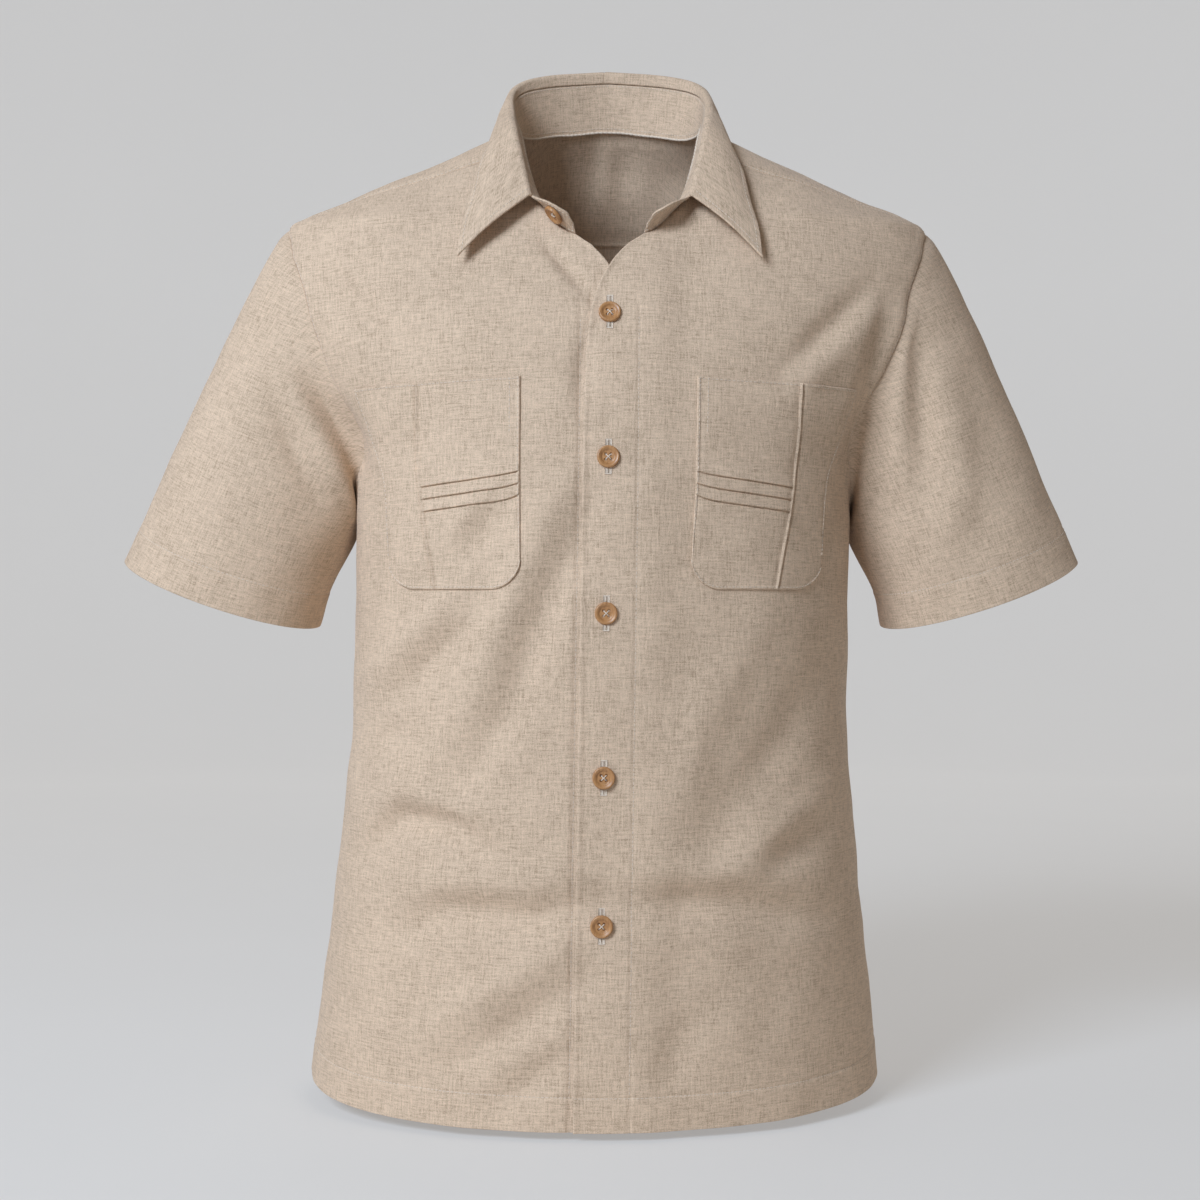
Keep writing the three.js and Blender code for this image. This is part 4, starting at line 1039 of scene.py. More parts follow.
def weave_table():
    """Flat lengths on the body at even heights and angles: round each oval from the centre
    front, and up each line of one angle from the hem."""
    z, theta = np.linspace(-712, 24, 369), np.linspace(0, math.pi, 361)
    points = body_point(theta[None, :], z[:, None])
    return z, theta, np.stack([lengths(points, 1), lengths(points, 0)], -1)


def body_weave(theta, z, from_back=False):
    """Weave coordinates of a place on the body, read between the four nearest of the table:
    round from the centre front or back, and up from the hem."""
    heights, angles, table = WEAVE
    folded = np.where(np.abs(theta) > math.pi, 2 * math.pi - np.abs(theta), np.abs(theta))
    row = np.clip((z - heights[0]) / (heights[1] - heights[0]), 0, len(heights) - 1.001)
    column = np.clip(folded / angles[1], 0, len(angles) - 1.001)
    i, j = row.astype(int), column.astype(int)
    t, u = (row - i)[..., None], (column - j)[..., None]
    low = mix(table[i, j], table[i, j + 1], u)
    high = mix(table[i + 1, j], table[i + 1, j + 1], u)
    found = mix(low, high, t)
    if from_back:
        half_way_round = mix(table[i, -1, 0], table[i + 1, -1, 0], row - i)
        found[..., 0] = half_way_round - found[..., 0]
    found[..., 0] *= np.where((theta < 0) | (theta > math.pi), -1, 1)
    return found


def shoulder_weave(points):
    """Weave coordinates over the shoulders: length along the shoulder's ridge from the centre,
    and length forwards or backwards from the ridge and down from it."""
    half, height = SECTIONS[:11, 1], SECTIONS[:11, 0]
    run = half[0] + np.concatenate([[0], np.cumsum(np.hypot(np.diff(half), np.diff(height)))])
    beside, aside = np.abs(points[..., 0]), points[..., 1] - NECK["y"]
    ridge = np.interp(beside, half, height)
    out = np.where(beside < half[0], beside, np.interp(beside, half, run))
    down = 0.9 * (np.abs(aside) + np.maximum(0, ridge - points[..., 2]))
    return np.stack([np.sign(points[..., 0]) * out, np.sign(aside) * down], -1)


def panel_cloth(base, normal, away, weave, ring=False):
    """Panel of cloth from its base, its normal and how far it stands off."""
    return Cloth(base + normal * away[..., None], normal, weave, ring)


WEAVE = weave_table()


def build_front(side):
    """Cloth of one front and its rows of stitches."""
    row = np.concatenate([spread(89, (0, 11), 0.02), spread(123, (11, 28), 0.02, [(27.06, 0.035)])[1:]])
    lap = [spread(14, (0, 2), 0.02), np.arange(2.05, 2.4, 0.05)]
    column = np.concatenate([*lap, spread(62, (2.42, FRONT_COLUMNS), 0.02)])
    theta, z = front_grid(side, row, column)
    base, normal, away = front_cloth(side, theta, z)
    far = from_sides(base)
    on_neck = 1 - ease(row, 2.6, 3.2)[:, None]
    away += on_neck * seam_relief(far["left"]) + seam_relief(far["right"]) + seam_relief(far["top"])
    away += (1 - on_neck) * (0.7 * bell(far["left"], 1.2, 1.4) - 0.4 * bell(far["left"], 4.2, 1.3))
    away += hem_relief(far["bottom"], HEM_DEPTH)
    away += 0.28 * pucker(base, far["right"], 7) + 0.2 * pucker(base, far["top"], 6)
    away += 0.3 * pucker(base, far["bottom"] - HEM_DEPTH, 8) + 0.22 * pucker(base, far["left"], 9)
    cloth = panel_cloth(base, normal, away, body_weave(theta, z))
    z_line = np.linspace(-150, -674, 300)
    line_theta = theta_of_x(np.full(300, side * float(FACING_X)), z_line)
    stitched = [part[None] for part in front_cloth(side, line_theta, z_line)]
    facing = panel_cloth(*stitched, np.zeros((1, 300, 2)))
    rows = [
        cloth.line("right", 1.8, start=0.01, stop=0.4),
        cloth.line("bottom", HEM_DEPTH),
        (facing.points[0], facing.normals[0]),
    ]
    return cloth, rows


def build_back():
    """Cloth of the back and its rows of stitches."""
    row = np.concatenate([spread(73, (0, 9), 0.02), spread(123, (9, 26), 0.02, [(25.06, 0.035)])[1:]])
    column = spread(141, (0, BACK_COLUMNS), 0.025)
    theta, z = back_grid(row, column)
    base, normal, away = body_cloth(theta, z)
    far = from_sides(base)
    away += seam_relief(far["left"]) + seam_relief(far["right"]) + seam_relief(far["top"])
    away += hem_relief(far["bottom"], HEM_DEPTH)
    for side, amount in (("left", 0.28), ("right", 0.28), ("top", 0.3)):
        away += amount * pucker(base, far[side], 7)
    away += 0.3 * pucker(base, far["bottom"] - HEM_DEPTH, 8)
    cloth = panel_cloth(base, normal, away, body_weave(theta, z, from_back=True))
    return cloth, [cloth.line("bottom", HEM_DEPTH)]


def build_yoke():
    """Cloth of the yoke and its rows of stitches."""
    over_arms = [spread(30, ends, 0.03) for ends in ((0, 4), (24, 28))]
    column = np.concatenate([over_arms[0], spread(121, (4, 24))[1:], over_arms[1][1:]])
    theta, z = yoke_grid(spread(56, (0, 12), 0.03), column)
    base, normal, away = body_cloth(theta, z)
    far = from_sides(base)
    for side, amount in (("left", 0.2), ("right", 0.2), ("top", 0.15), ("bottom", 0.28)):
        away += seam_relief(far[side]) + amount * pucker(base, far[side], 6)
    weave = shoulder_weave(base)
    psi = np.interp(column, YOKE_STOPS, YOKE_NECK)
    base = base + neck_raise(psi)[None] * (1 - ease(far["top"], 0, 30))[..., None]
    cloth = panel_cloth(base, normal, away, weave)
    return cloth, [cloth.line(edge, EDGE_STITCH) for edge in ("left", "right", "bottom")]


def build_sleeve(side):
    """Cloth of one sleeve and its rows of stitches."""
    t = spread(78, (0, 1), 0.0025, [(0.885, 0.004)])
    angle = np.linspace(0, 360, 145)[:-1]
    angle_grid, t_grid = np.meshgrid(angle, t)
    base = sleeve_point(side, angle_grid, t_grid)
    normal = normal_of(
        lambda a, b: sleeve_point(side, a, b), angle_grid, np.clip(t_grid, 0.01, 0.98), 1, side * 0.01
    )
    arm_theta, arm_z = armhole(angle_grid / ARMHOLE["step"])
    _, body_out, body_away = body_cloth(side * arm_theta, arm_z)
    far = from_sides(base)
    away = unevenness(base) - fold_depth(base, normal)
    padded = 0.35 * ease(far["top"], 1, 4) * (1 - ease(far["top"], 9, 13))
    away += padded + hem_relief(far["bottom"], CUFF_HEM_DEPTH)
    away += 0.3 * pucker(base, far["top"], 8) + 0.3 * pucker(base, far["bottom"] - CUFF_HEM_DEPTH, 8)
    settled = ease(t_grid, 0, 0.15)[..., None]
    under = np.maximum(0, -np.cos(np.radians(angle_grid))) ** 1.5
    under = under * ease(t_grid, 0, 0.3) * (1 - ease(t_grid, 0.35, 0.9))
    base = base + under[..., None] * [-UNDERARM["in"] * side, 0, -UNDERARM["down"]]
    points = base + mix(body_out * (body_away - 0.5)[..., None], normal * away[..., None], settled)
    facing = unit(mix(body_out, normal, ease(t_grid, 0, 0.06)[..., None]))
    around_arm = np.radians(np.concatenate([angle, [360.0]]))[None, :] * 72.0
    to_cuff = from_sides(np.concatenate([base, base[:, :1]], 1))["bottom"]
    weave = np.stack(np.broadcast_arrays(around_arm, to_cuff), -1)
    cloth = Cloth(points, facing, weave, ring=True)
    return cloth, [cloth.line("bottom", CUFF_HEM_DEPTH)]


def build_stand(thickness):
    """Cloth of the collar stand and its rows of stitches on both sides."""
    psi = spread(270, (NECK["tip"], 360 - NECK["tip"]), 0.08)
    share = spread(16, (0, 1), 0.012)
    psi_grid, share_grid = np.meshgrid(psi, share)
    normal = stand_normal(psi_grid, share_grid)
    base = stand_point(psi_grid, share_grid)
    edge_normal = neck_edge(psi)[1]
    normal = unit(mix(edge_normal[None], normal, ease(share_grid, 0, 0.12)[..., None]))
    far = from_sides(base)
    away = 0.2 + 0.12 * pucker(base, np.minimum(far["top"], far["bottom"]), 6, 6.0)
    cloth = panel_cloth(base, normal, away, np.stack([psi_grid * 1.25, far["bottom"]], -1))
    rows = [
        cloth.line("bottom", EDGE_STITCH),
        cloth.line("bottom", 1.4, inside=thickness, start=0.12, stop=0.88),
        cloth.line("top", 1.8),
        cloth.line("top", 2.6, inside=thickness, start=0.1, stop=0.9),
        cloth.line("left", EDGE_STITCH),
        cloth.line("right", EDGE_STITCH),
    ]
    return cloth, rows


def build_fall(thickness):
    """Cloth of the collar fall, with a short crease over the roll behind, and its stitches near
    the free edges."""
    psi = spread(190, (COLLAR_END, 360 - COLLAR_END), 0.25, [(COLLAR_CREASE, 0.35)])
    points, normals = fall_profile(psi, thickness)
    far = from_sides(points)
    away = 0.22 * soft_noise(points, 40, 12) + 0.1 * pucker(points, far["right"], 7, 6.0)
    crease = 0.4 * bell((psi[:, None] - COLLAR_CREASE) * 1.2, 0, 0.5) * (1 - ease(far["left"], 22, 26))
    away -= 0.25 * bell(far["right"], COLLAR_STITCH, 0.9) + crease
    for end in ("top", "bottom"):
        away -= 0.25 * bell(far[end], COLLAR_STITCH, 0.9)
    weave = np.stack(np.broadcast_arrays(psi[:, None] * 1.35, far["right"]), -1)
    cloth = panel_cloth(points, normals, away, weave)
    rows = [
        cloth.line("right", COLLAR_STITCH),
        cloth.line("top", COLLAR_STITCH, start=0.3),
        cloth.line("bottom", COLLAR_STITCH, stop=0.7),
    ]
    return cloth, rows


def pocket_surface(side, part):
    """Grid of one piece of a pocket in the plan of the front: rows follow the slope of the
    tucks, the side edges follow their tables and the lower corners are raised on an arc."""
    edges = [TUCKS["first"] - TUCKS["spacing"] * k for k in range(TUCKS["count"])]
    close = [edge + step for edge in edges for step in TUCK_ROWS]
    level = spread(52, (POCKET["bottom"], POCKET["top"]), 0.45)
    level = np.unique(np.concatenate([level, close]))[::-1][:, None]
    count, near = (34, 0.006) if part == "center" else (20, 0.013)
    share = spread(count, (0, 1), near)[None, :]
    slope = TUCKS["slope"] * ease(-level, 200, 240) * (1 - ease(-level, 290, 322))
    v = level + 0 * share
    for _ in range(3):
        inner, seam, outer = pocket_inner(v), pocket_seam(v), pocket_outer(v)
        left, right = (inner, seam - SEAM_GAP / 2) if part == "center" else (seam + SEAM_GAP / 2, outer)
        x = mix(left, right, share)
        v = level - slope * (x - inner)
    down = (POCKET["top"] - v) / (POCKET["top"] - POCKET["bottom"])
    across = (x - inner) / (outer - inner)
    inset = np.clip(POCKET["corner"] - np.minimum(x - inner, outer - x), 0, POCKET["inset"])
    lift = POCKET["corner"] - np.sqrt(POCKET["corner"] ** 2 - inset**2)
    z = v - POCKET["drop"] * across * (1 - down) + lift * down**3
    return side * x, z, level


def build_pocket(side, part):
    """Cloth of one piece of a pocket, its stitches and its thickness down to the front."""
    x, z, level = pocket_surface(side, part)
    theta = theta_of_x(x, z)
    base, normal, away = front_cloth(side, theta, z)
    far = from_sides(base)
    seam, free = ("right", "left") if part == "center" else ("left", "right")
    rim = np.minimum(np.minimum(far[free], far["top"]), far["bottom"])
    round_off = np.sqrt(1 - (1 - np.minimum(rim / 1.1, 1)) ** 2)
    high = 0.35 + 1.05 * round_off + 0.3 * bell(rim, 1.0, 0.7) - 0.55 * bell(rim, 2.4, 0.6)
    high += 0.1 + 0.16 * pucker(base, rim, 5, 7.0)
    if part == "center":
        high += 0.85 * bell(far[seam], 0.8, 0.7) - 0.7 * bell(far[seam], 2.3, 0.6)
        on_cloth = ease(far[seam], 1.2, 2.2) * ease(far[free], 0.6, 1.6)
        for k in range(TUCKS["count"]):
            drop = TUCKS["first"] - k * TUCKS["spacing"] - level
            ramp = np.clip(1 + drop / TUCKS["spacing"], 0, 1) * (drop <= 0)
            high += on_cloth * (TUCKS["height"] * ramp**1.5 - 0.9 * bell(drop, 0.5, 0.42))
    else:
        high -= 0.9 * bell(far[seam], 0, 1.3)
    high = np.maximum(high, 0.3)
    cloth = panel_cloth(base, normal, away + high, body_weave(theta, z) + [3.7, 5.1])
    rows = [
        cloth.line(free, POCKET_STITCH, start=0.01, stop=0.93),
        cloth.line("bottom", POCKET_STITCH, start=0.02, stop=0.98),
    ]
    if part == "center":
        rows.append(cloth.line(free, 8.5, start=0.02, stop=0.2))
        rows.append(cloth.line("top", POCKET_STITCH, start=0.03))
    else:
        rows.append(cloth.line("top", POCKET_STITCH, stop=0.94))
    return cloth, rows, high - 0.1


def button_disc(radius, thick):
    """Button: a profile of radius and height turned round its axis, with a rounded rim, a ring
    step and a dished middle, and four round pits for the thread. Returns points and quads."""
    rim = np.linspace(0, math.pi / 2, 7)
    fillet = 0.34 * thick
    profile = np.concatenate(
        [
            np.stack([np.linspace(0.02, 0.45, DISH_STEPS), np.full(DISH_STEPS, DISH)], 1),
            BUTTON_RING,
            np.stack([1 - fillet / radius * (1 - np.sin(rim)), 1 - fillet / thick * (1 - np.cos(rim))], 1),
            BUTTON_BACK,
        ]
    )
    sides = 96
    angle = np.arange(sides) * 2 * math.pi / sides
    r, h = profile[:, :1] * radius, profile[:, 1:] * thick
    x, y, z = r * np.cos(angle), r * np.sin(angle), h + 0 * angle
    in_dish = (np.arange(len(profile)) < DISH_STEPS)[:, None]
    for cx, cy in ((1, 1), (-1, 1), (-1, -1), (1, -1)):
        near = np.hypot(x - cx * THREAD_HOLE["aside"], y - cy * THREAD_HOLE["aside"])
        pit = 1 - ease(near, THREAD_HOLE["bottom"], THREAD_HOLE["rim"])
        z = z - in_dish * THREAD_HOLE["deep"] * pit
    ids = np.arange(x.size).reshape(x.shape)
    quads = ring_cells(ids)
    caps = np.stack([ids[0], ids[-1, ::-1]])
    points = np.stack([x, y, z], -1).reshape(-1, 3)
    turned = outward(points, quads)
    return points, turned, caps if turned is quads else caps[:, ::-1]


def seat(points, place, normal, upright=(0, 0, 1)):
    """Points of a disc lying in the XY plane, moved to a place and turned to face a normal."""
    normal = unit(np.array(normal, float))
    beside = unit(np.cross(np.array(upright, float), normal))
    up = np.cross(normal, beside)
    return place + points[:, :1] * beside + points[:, 1:2] * up + points[:, 2:3] * normal


def arc_thread(start, stop, height, radius, turns=14):
    """Strand of thread: a tube along a half wave from one hole to the next."""
    t = np.linspace(0, 1, turns)[:, None]
    line = mix(np.array(start, float), np.array(stop, float), t)
    line = line + np.array([0, 0, 1]) * height * np.sin(math.pi * t) ** 0.5
    return rope(line, np.full(turns, radius), 8)


class ClothSettings(bpy.types.PropertyGroup):
    """Sizes and colours of the cloth."""

    thickness: bpy.props.FloatProperty(
        name="Cloth",
        description="Thickness of the single cloth",
        default=0.001, min=0.0004, max=0.002, unit="LENGTH",
    )
    collar_thickness: bpy.props.FloatProperty(
        name="Collar",
        description="Thickness of the double cloth of the collar",
        default=0.0014, min=0.0006, max=0.003, unit="LENGTH",
    )
    allowance: bpy.props.FloatProperty(
        name="Allowance",
        description="Cloth added to each edge of the flat cut",
        default=0.012, min=0, max=0.03, unit="LENGTH",
    )
    thread_pitch: bpy.props.FloatProperty(
        name="Thread pitch",
        description="Distance from one thread of the weave to the next",
        default=0.0008, min=0.0003, max=0.003, unit="LENGTH",
    )
    relief: bpy.props.FloatProperty(
        name="Weave relief",
        description="Strength of the weave's relief",
        default=0.55, min=0, max=1, subtype="FACTOR",
    )
    colour: bpy.props.FloatVectorProperty(
        name="Linen",
        description="Main colour of the linen",
        default=(0.63, 0.47, 0.335), min=0, max=1, size=3, subtype="COLOR",
    )
    dark_thread: bpy.props.FloatProperty(
        name="Dark slubs",
        description="Brightness of the darkest threads",
        default=0.63, min=0.2, max=1, subtype="FACTOR",
    )
    light_thread: bpy.props.FloatProperty(
        name="Light slubs",
        description="Brightness of the lightest threads",
        default=1.24, min=1, max=1.6,
    )


class SewingSettings(bpy.types.PropertyGroup):
    """Sizes and colour of the sewing."""

    pitch: bpy.props.FloatProperty(
        name="Stitch pitch",
        description="Distance from one stitch to the next",
        default=0.003, min=0.001, max=0.008, unit="LENGTH",
    )
    length: bpy.props.FloatProperty(
        name="Stitch length",
        description="Length of thread that shows",
        default=0.0023, min=0.0008, max=0.007, unit="LENGTH",
    )
    width: bpy.props.FloatProperty(
        name="Thread width",
        description="Width of the thread",
        default=0.00055, min=0.0002, max=0.0015, unit="LENGTH",
    )
    colour: bpy.props.FloatVectorProperty(
        name="Thread",
        description="Colour of the thread",
        default=(0.72, 0.6, 0.48), min=0, max=1, size=3, subtype="COLOR",
    )


class ButtonSettings(bpy.types.PropertyGroup):
    """Sizes and colours of the buttons."""

    diameter: bpy.props.FloatProperty(
        name="Diameter",
        description="Diameter of a button",
        default=0.0153, min=0.009, max=0.025, unit="LENGTH",
    )
    thickness: bpy.props.FloatProperty(
        name="Thickness",
        description="Thickness at the rim",
        default=0.0032, min=0.0015, max=0.005, unit="LENGTH",
    )
    colour: bpy.props.FloatVectorProperty(
        name="Wood",
        description="Light colour of the wood",
        default=(0.53, 0.27, 0.105), min=0, max=1, size=3, subtype="COLOR",
    )
    grain_colour: bpy.props.FloatVectorProperty(
        name="Grain",
        description="Dark colour of the grain",
        default=(0.27, 0.11, 0.035), min=0, max=1, size=3, subtype="COLOR",
    )


class StageSettings(bpy.types.PropertyGroup):
    """Floor, camera and lights."""

    floor_gap: bpy.props.FloatProperty(
        name="Floor gap",
        description="Distance from the hem down to the floor",
        default=0.006, min=0, max=0.5, unit="LENGTH",
    )
    floor_colour: bpy.props.FloatVectorProperty(
        name="Floor",
        description="Colour of the floor and backdrop",
        default=(0.37, 0.362, 0.352), min=0, max=1, size=3, subtype="COLOR",
    )
    # Painted light: the backdrop's own glow, an emission with no lamp, strongest under and behind the
    # shirt.
    backdrop_light: bpy.props.FloatProperty(
        name="Backdrop light",
        description="Light that the backdrop adds behind the shirt",
        default=0.385, min=0, max=1,
    )
    lens: bpy.props.FloatProperty(
        name="Lens",
        description="Focal length in millimetres on a 36 mm sensor",
        default=60.81, min=20, max=200,
    )
    key_power: bpy.props.FloatProperty(
        name="Key light",
        description="Power of the large light on the left",
        default=90, min=0, unit="POWER",
    )
    fill_power: bpy.props.FloatProperty(
        name="Fill light",
        description="Power of the weaker light in front",
        default=1.4, min=0, unit="POWER",
    )
    back_power: bpy.props.FloatProperty(
        name="Back light",
        description="Power of the light behind and above",
        default=5, min=0, unit="POWER",
    )
    top_power: bpy.props.FloatProperty(
        name="Top light",
        description="Power of the light overhead",
        default=0.5, min=0, unit="POWER",
    )


class SHIRT_OT_fronts(bpy.types.Operator):
    """Make the two fronts, the wearer's left over the right"""

    bl_idname = "shirt.fronts"
    bl_label = "Fronts"

    def execute(self, context):
        thick = context.scene.shirt_cloth.thickness / MM
        for name, side in (("front_left", 1), ("front_right", -1)):
            cloth, rows = build_front(side)
            make_cloth("cloth_" + name, name, cloth, thick, rows)
        return {"FINISHED"}


class SHIRT_OT_back(bpy.types.Operator):
    """Make the back"""

    bl_idname = "shirt.back"
    bl_label = "Back"

    def execute(self, context):
        thick = context.scene.shirt_cloth.thickness / MM
        cloth, rows = build_back()
        make_cloth("cloth_back", "back", cloth, thick, rows)
        return {"FINISHED"}


class SHIRT_OT_yoke(bpy.types.Operator):
    """Make the yoke over the shoulders"""

    bl_idname = "shirt.yoke"
    bl_label = "Yoke"

    def execute(self, context):
        thick = context.scene.shirt_cloth.thickness / MM
        cloth, rows = build_yoke()
        make_cloth("cloth_yoke", "yoke", cloth, thick, rows)
        return {"FINISHED"}


class SHIRT_OT_sleeves(bpy.types.Operator):
    """Make the two short sleeves"""

    bl_idname = "shirt.sleeves"
    bl_label = "Sleeves"

    def execute(self, context):
        thick = context.scene.shirt_cloth.thickness / MM
        for name, side in (("sleeve_left", 1), ("sleeve_right", -1)):
            cloth, rows = build_sleeve(side)
            make_cloth("cloth_" + name, name, cloth, thick, rows)
        return {"FINISHED"}


class SHIRT_OT_collar(bpy.types.Operator):
    """Make the collar stand, the fall and the ridge of the neck seam"""

    bl_idname = "shirt.collar"
    bl_label = "Collar"

    def execute(self, context):
        thick = context.scene.shirt_cloth.collar_thickness / MM
        stand, rows = build_stand(thick)
        make_cloth("cloth_collar_stand", "collar_stand", stand, thick, rows, 0.0)
        fall, rows = build_fall(thick)
        make_cloth("cloth_collar_fall", "collar_fall", fall, thick, rows, 0.0)
        line, out = stand.line("top", 0.4, inside=thick, start=0.06, stop=0.94)
        length = lengths(line[None], 1)[0]
        even = np.arange(0, length[-1], 0.6)
        line = np.stack([np.interp(even, length, line[:, k] + 0.5 * out[:, k]) for k in range(3)], -1)
        ends = np.minimum(1, np.minimum(even, even[-1] - even) / 6 + 0.1)
        radius = ends * (0.85 + 0.18 * np.cos(even * 2 * math.pi / 3.4))
        points, quads, caps = rope(line, radius, 10)
        ridge = make_mesh("neck_seam_ridge", points, [quads, caps], thread())
        return {"FINISHED"}


class SHIRT_OT_pockets(bpy.types.Operator):
    """Make the two chest pockets, each with a tucked centre and a side piece"""

    bl_idname = "shirt.pockets"
    bl_label = "Pockets"

    def execute(self, context):
        for name, side in (("left", 1), ("right", -1)):
            for part in ("center", "side"):
                cloth, rows, thick = build_pocket(side, part)
                node = f"pocket_{name}_{part}"
                make_cloth("cloth_" + node, node, cloth, thick, rows, POCKET_ALLOWANCE)
        return {"FINISHED"}


class SHIRT_OT_buttons(bpy.types.Operator):
    """Make the buttons with their thread, and the buttonholes under them"""

    bl_idname = "shirt.buttons"
    bl_label = "Buttons"

    def execute(self, context):
        settings = context.scene.shirt_buttons
        radius, thick = settings.diameter / 2 / MM, settings.thickness / MM
        disc = button_disc(radius, thick)
        sunk = DISH * thick - 0.35
        cross = [
            ((-1.6, -1.6, sunk), (1.6, 1.6, sunk)),
            ((-1.6, 1.6, sunk), (1.6, -1.6, sunk + 0.05)),
        ]
        strands = joined([arc_thread(a, b, 0.75 + 0.2 * k, 0.36) for k, (a, b) in enumerate(cross)])
        faces = {name: body_normal(np.array(0.0), np.array(float(z))) for name, z in BUTTONS.items()}
        tab = stand_normal(np.array([COLLAR_BUTTON["psi"]], float), np.array([COLLAR_BUTTON["rise"]]))[0]
        for name, normal in {**faces, "button_collar": tab}.items():
            low, high = (np.array(corner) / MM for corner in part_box(name))
            place = (low + high) / 2 - normal * thick / 2
            points = seat(disc[0], place, normal)
            piece = make_mesh("wood_" + name, points, [disc[1], disc[2]], polished_wood())
            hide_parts(name)
            points = seat(strands[0], place, normal)
            tie = make_mesh("thread_" + name, points, [strands[1], *strands[2]], thread())
        self.buttonholes()
        return {"FINISHED"}

    def buttonholes(self):
        """Buttonhole: dense cross stitches down both sides of an upright slit, with a bar at
        each end, as short strands of thread on the front's cloth."""
        parts = []
        half = BUTTONHOLE["half"]
        steps = np.arange(-half, half + 0.1, BUTTONHOLE["pitch"])
        for z0 in BUTTONS.values():
            for sign in (-1, 1):
                for end in (-1, 1):
                    z = z0 + steps[steps * end > BUTTONHOLE["clear"]]
                    inner = self.on_front(sign * 0.18, z)
                    outer = self.on_front(sign * 2 * BUTTONHOLE["beside"], z)
                    for a, b in zip(inner, outer):
                        strand = mix(a, b, np.linspace(0, 1, 3)[:, None])
                        parts.append(rope(strand, np.full(3, 0.34), 5))
            for end in (-1, 1):
                ends = self.on_front(np.linspace(-2.2, 2.2, 9), np.full(9, z0 + end * (half + 0.4)))
                parts.append(rope(ends, np.full(9, 0.5), 6))
        points, quads, caps = joined(parts)
        piece = make_mesh("buttonholes", points, [quads, *caps], thread())

    def on_front(self, x, z):
        """Points on the wearer's left front at x and z, just above the cloth."""
        x = np.broadcast_to(np.asarray(x, float), z.shape)
        base, normal, away = front_cloth(1, theta_of_x(x, z), z)
        points = base + normal * (away + 0.22)[..., None]
        points[..., 0] += SWAY * points[..., 2]
        return points


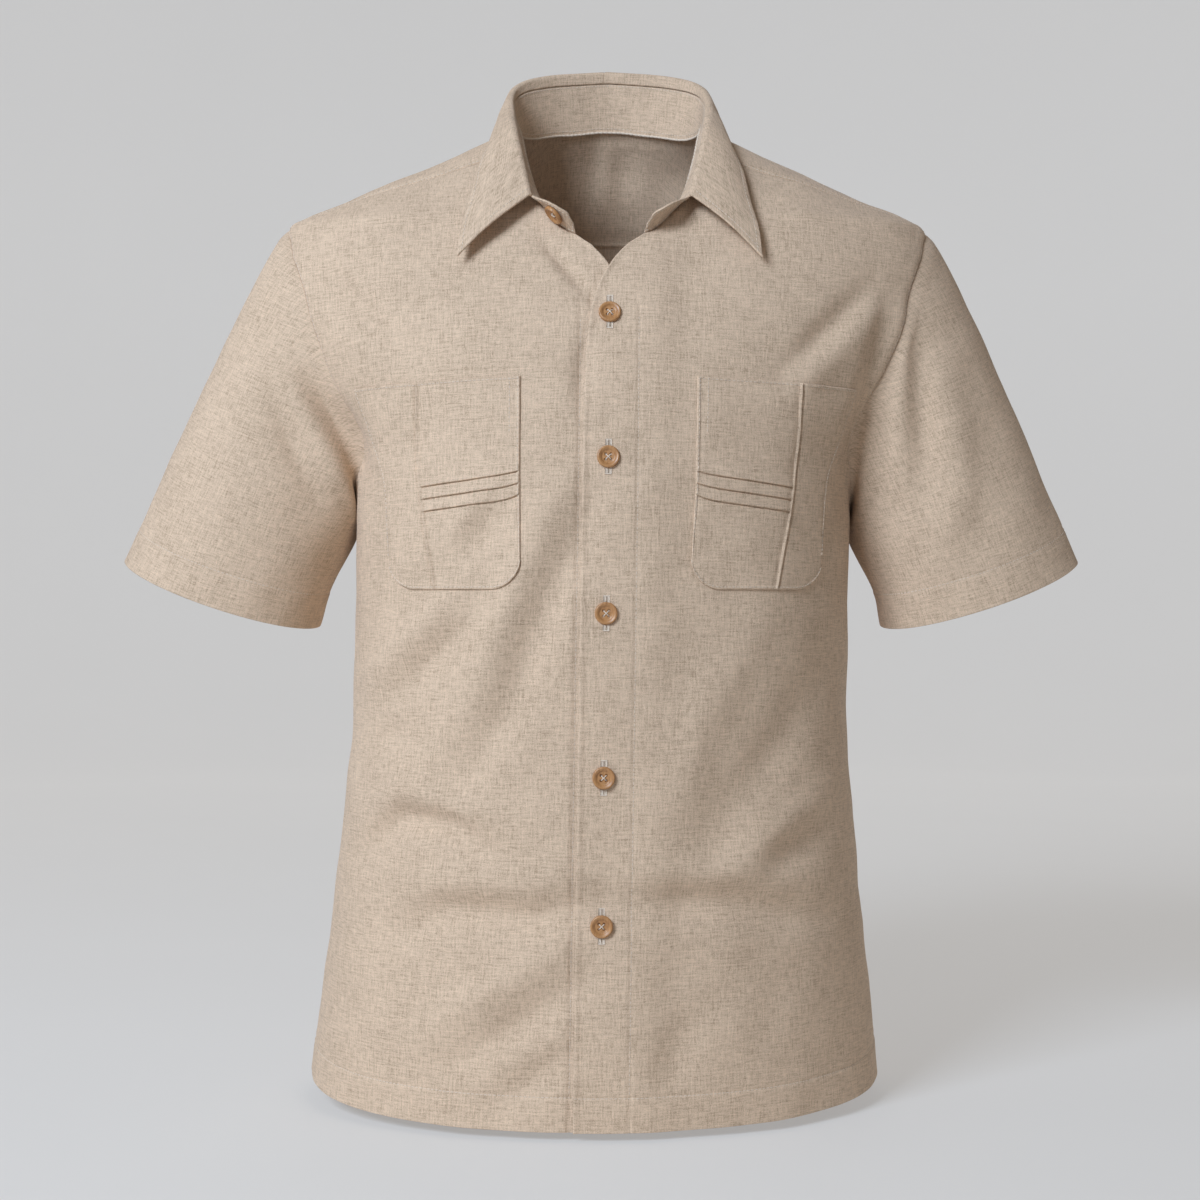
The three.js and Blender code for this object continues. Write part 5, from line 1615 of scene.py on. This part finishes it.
class SHIRT_OT_stage(bpy.types.Operator):
    """Make the floor, the camera and the lights"""

    bl_idname = "shirt.stage"
    bl_label = "Stage"

    def execute(self, context):
        stage = context.scene.shirt_stage
        self.make_floor(stage)
        camera = bpy.data.objects.new("camera", bpy.data.cameras.new("camera"))
        camera.data.lens = stage.lens
        camera.data.clip_end = CAMERA["far"]
        camera.location = CAMERA["place"]
        camera.rotation_euler = CAMERA["turn"]
        context.scene.collection.objects.link(camera)
        context.scene.camera = camera
        for name, light in LIGHTS.items():
            power = getattr(stage, name + "_power")
            self.make_light(name, light["place"], light["size"], power, light["colour"])
        world = bpy.data.worlds.new("studio")
        world.use_nodes = True
        background = world.node_tree.nodes["Background"]
        background.inputs["Color"].default_value = WORLD["colour"]
        background.inputs["Strength"].default_value = WORLD["strength"]
        context.scene.world = world
        context.scene.view_settings.view_transform = "Standard"
        return {"FINISHED"}

    def make_floor(self, stage):
        """Floor and backdrop in one: a flat disc whose rim curves up on a quarter circle, turned round the
        vertical axis. Its surface glows as painted light, with no lamp: nothing in front of the shirt,
        nearly full under it and full far behind it, which lightens the shirt's shadow on the floor."""
        level = CAD_BOX[0][2] / MM - stage.floor_gap / MM
        turn = np.linspace(0, math.pi / 2, 17)[1:]
        flat, bend = BACKDROP["floor"], BACKDROP["bend"]
        radius = np.concatenate([np.linspace(1, flat, 20), flat + bend * np.sin(turn), [flat + bend]])
        height = np.concatenate([np.zeros(20), bend * (1 - np.cos(turn)), [BACKDROP["top"]]])
        angle = np.arange(BACKDROP["sides"]) * 2 * math.pi / BACKDROP["sides"]
        x, y = radius[:, None] * np.cos(angle), radius[:, None] * np.sin(angle)
        points = np.stack([x, y, height[:, None] + level + 0 * x], -1)
        ids = np.arange(x.size).reshape(x.shape)
        quads = ring_cells(ids)
        material, shader = start_material("paper_backdrop")
        tree = material.node_tree
        place = tree.nodes.new("ShaderNodeTexCoord")
        noise = node_of(tree, "ShaderNodeTexNoise", Vector=place.outputs["Object"], Scale=3.0, Detail=3.0)
        base = np.array(stage.floor_colour)
        stops = ((0.3, base * 0.985), (0.7, base * 1.01))
        tree.links.new(colours_between(tree, noise.outputs["Fac"], stops), shader.inputs["Base Color"])
        shader.inputs["Roughness"].default_value = 0.85
        # Painted light: the emission makes the backdrop glow with no lamp, rising from nothing in front of
        # the shirt to nearly full under it and full behind it.
        axes = node_of(tree, "ShaderNodeSeparateXYZ", Vector=place.outputs["Object"])
        behind = weighted(tree, [(axes.outputs["Y"], 0.2)], 0.5)
        light = np.full(3, stage.backdrop_light)
        glow = colours_between(tree, behind, ((0.28, 0 * light), (0.41, 0.86 * light), (1.0, light)))
        tree.links.new(glow, shader.inputs["Emission Color"])
        shader.inputs["Emission Strength"].default_value = 1.0
        mesh = bpy.data.meshes.new("floor")
        faces = [*quads[:, ::-1].tolist(), ids[0].tolist()]
        mesh.from_pydata((points.reshape(-1, 3) * MM).tolist(), [], faces)
        mesh.shade_smooth()
        mesh.materials.append(material)
        floor = bpy.data.objects.new("floor", mesh)
        bpy.context.scene.collection.objects.link(floor)

    def make_light(self, name, place, size, power, colour):
        """Square softbox that faces the middle of the shirt."""
        data = bpy.data.lights.new(name, "AREA")
        data.size, data.energy, data.color = size, power, colour
        light = bpy.data.objects.new(name, data)
        low, high = (np.array(corner) for corner in CAD_BOX)
        aim = (low + high) / 2 - np.array(place)
        light.location = place
        tilt = math.atan2(math.hypot(aim[0], aim[1]), -aim[2])
        light.rotation_euler = (tilt, 0, math.atan2(-aim[0], aim[1]))
        bpy.context.scene.collection.objects.link(light)


class SHIRT_PT_panel(bpy.types.Panel):
    """Sizes, colours and steps of the shirt"""

    bl_label = "Safari Shirt Jacket"
    bl_idname = "SHIRT_PT_panel"
    bl_space_type = "VIEW_3D"
    bl_region_type = "UI"
    bl_category = "Shirt"

    def draw(self, context):
        for setting, group in SETTINGS.items():
            box = self.layout.box()
            for name in group.__annotations__:
                box.prop(getattr(context.scene, setting), name)
        for operator in OPERATORS:
            self.layout.operator(operator.bl_idname)


OPERATORS = (
    SHIRT_OT_fronts,
    SHIRT_OT_back,
    SHIRT_OT_yoke,
    SHIRT_OT_sleeves,
    SHIRT_OT_collar,
    SHIRT_OT_pockets,
    SHIRT_OT_buttons,
    SHIRT_OT_stage,
)
SETTINGS = {
    "shirt_cloth": ClothSettings,
    "shirt_sewing": SewingSettings,
    "shirt_buttons": ButtonSettings,
    "shirt_stage": StageSettings,
}
CLASSES = (*SETTINGS.values(), *OPERATORS, SHIRT_PT_panel)


def register():
    """Register the classes and hang the settings on the scene."""
    for one in CLASSES:
        bpy.utils.register_class(one)
    for name, group in SETTINGS.items():
        setattr(bpy.types.Scene, name, bpy.props.PointerProperty(type=group))


def unregister():
    """Take the settings off the scene and unregister the classes."""
    for name in SETTINGS:
        delattr(bpy.types.Scene, name)
    for one in reversed(CLASSES):
        bpy.utils.unregister_class(one)


def main():
    """Make every piece in order."""
    register()
    for operator in OPERATORS:
        family, step = operator.bl_idname.split(".")
        getattr(getattr(bpy.ops, family), step)()


if __name__ == "__main__":
    main()
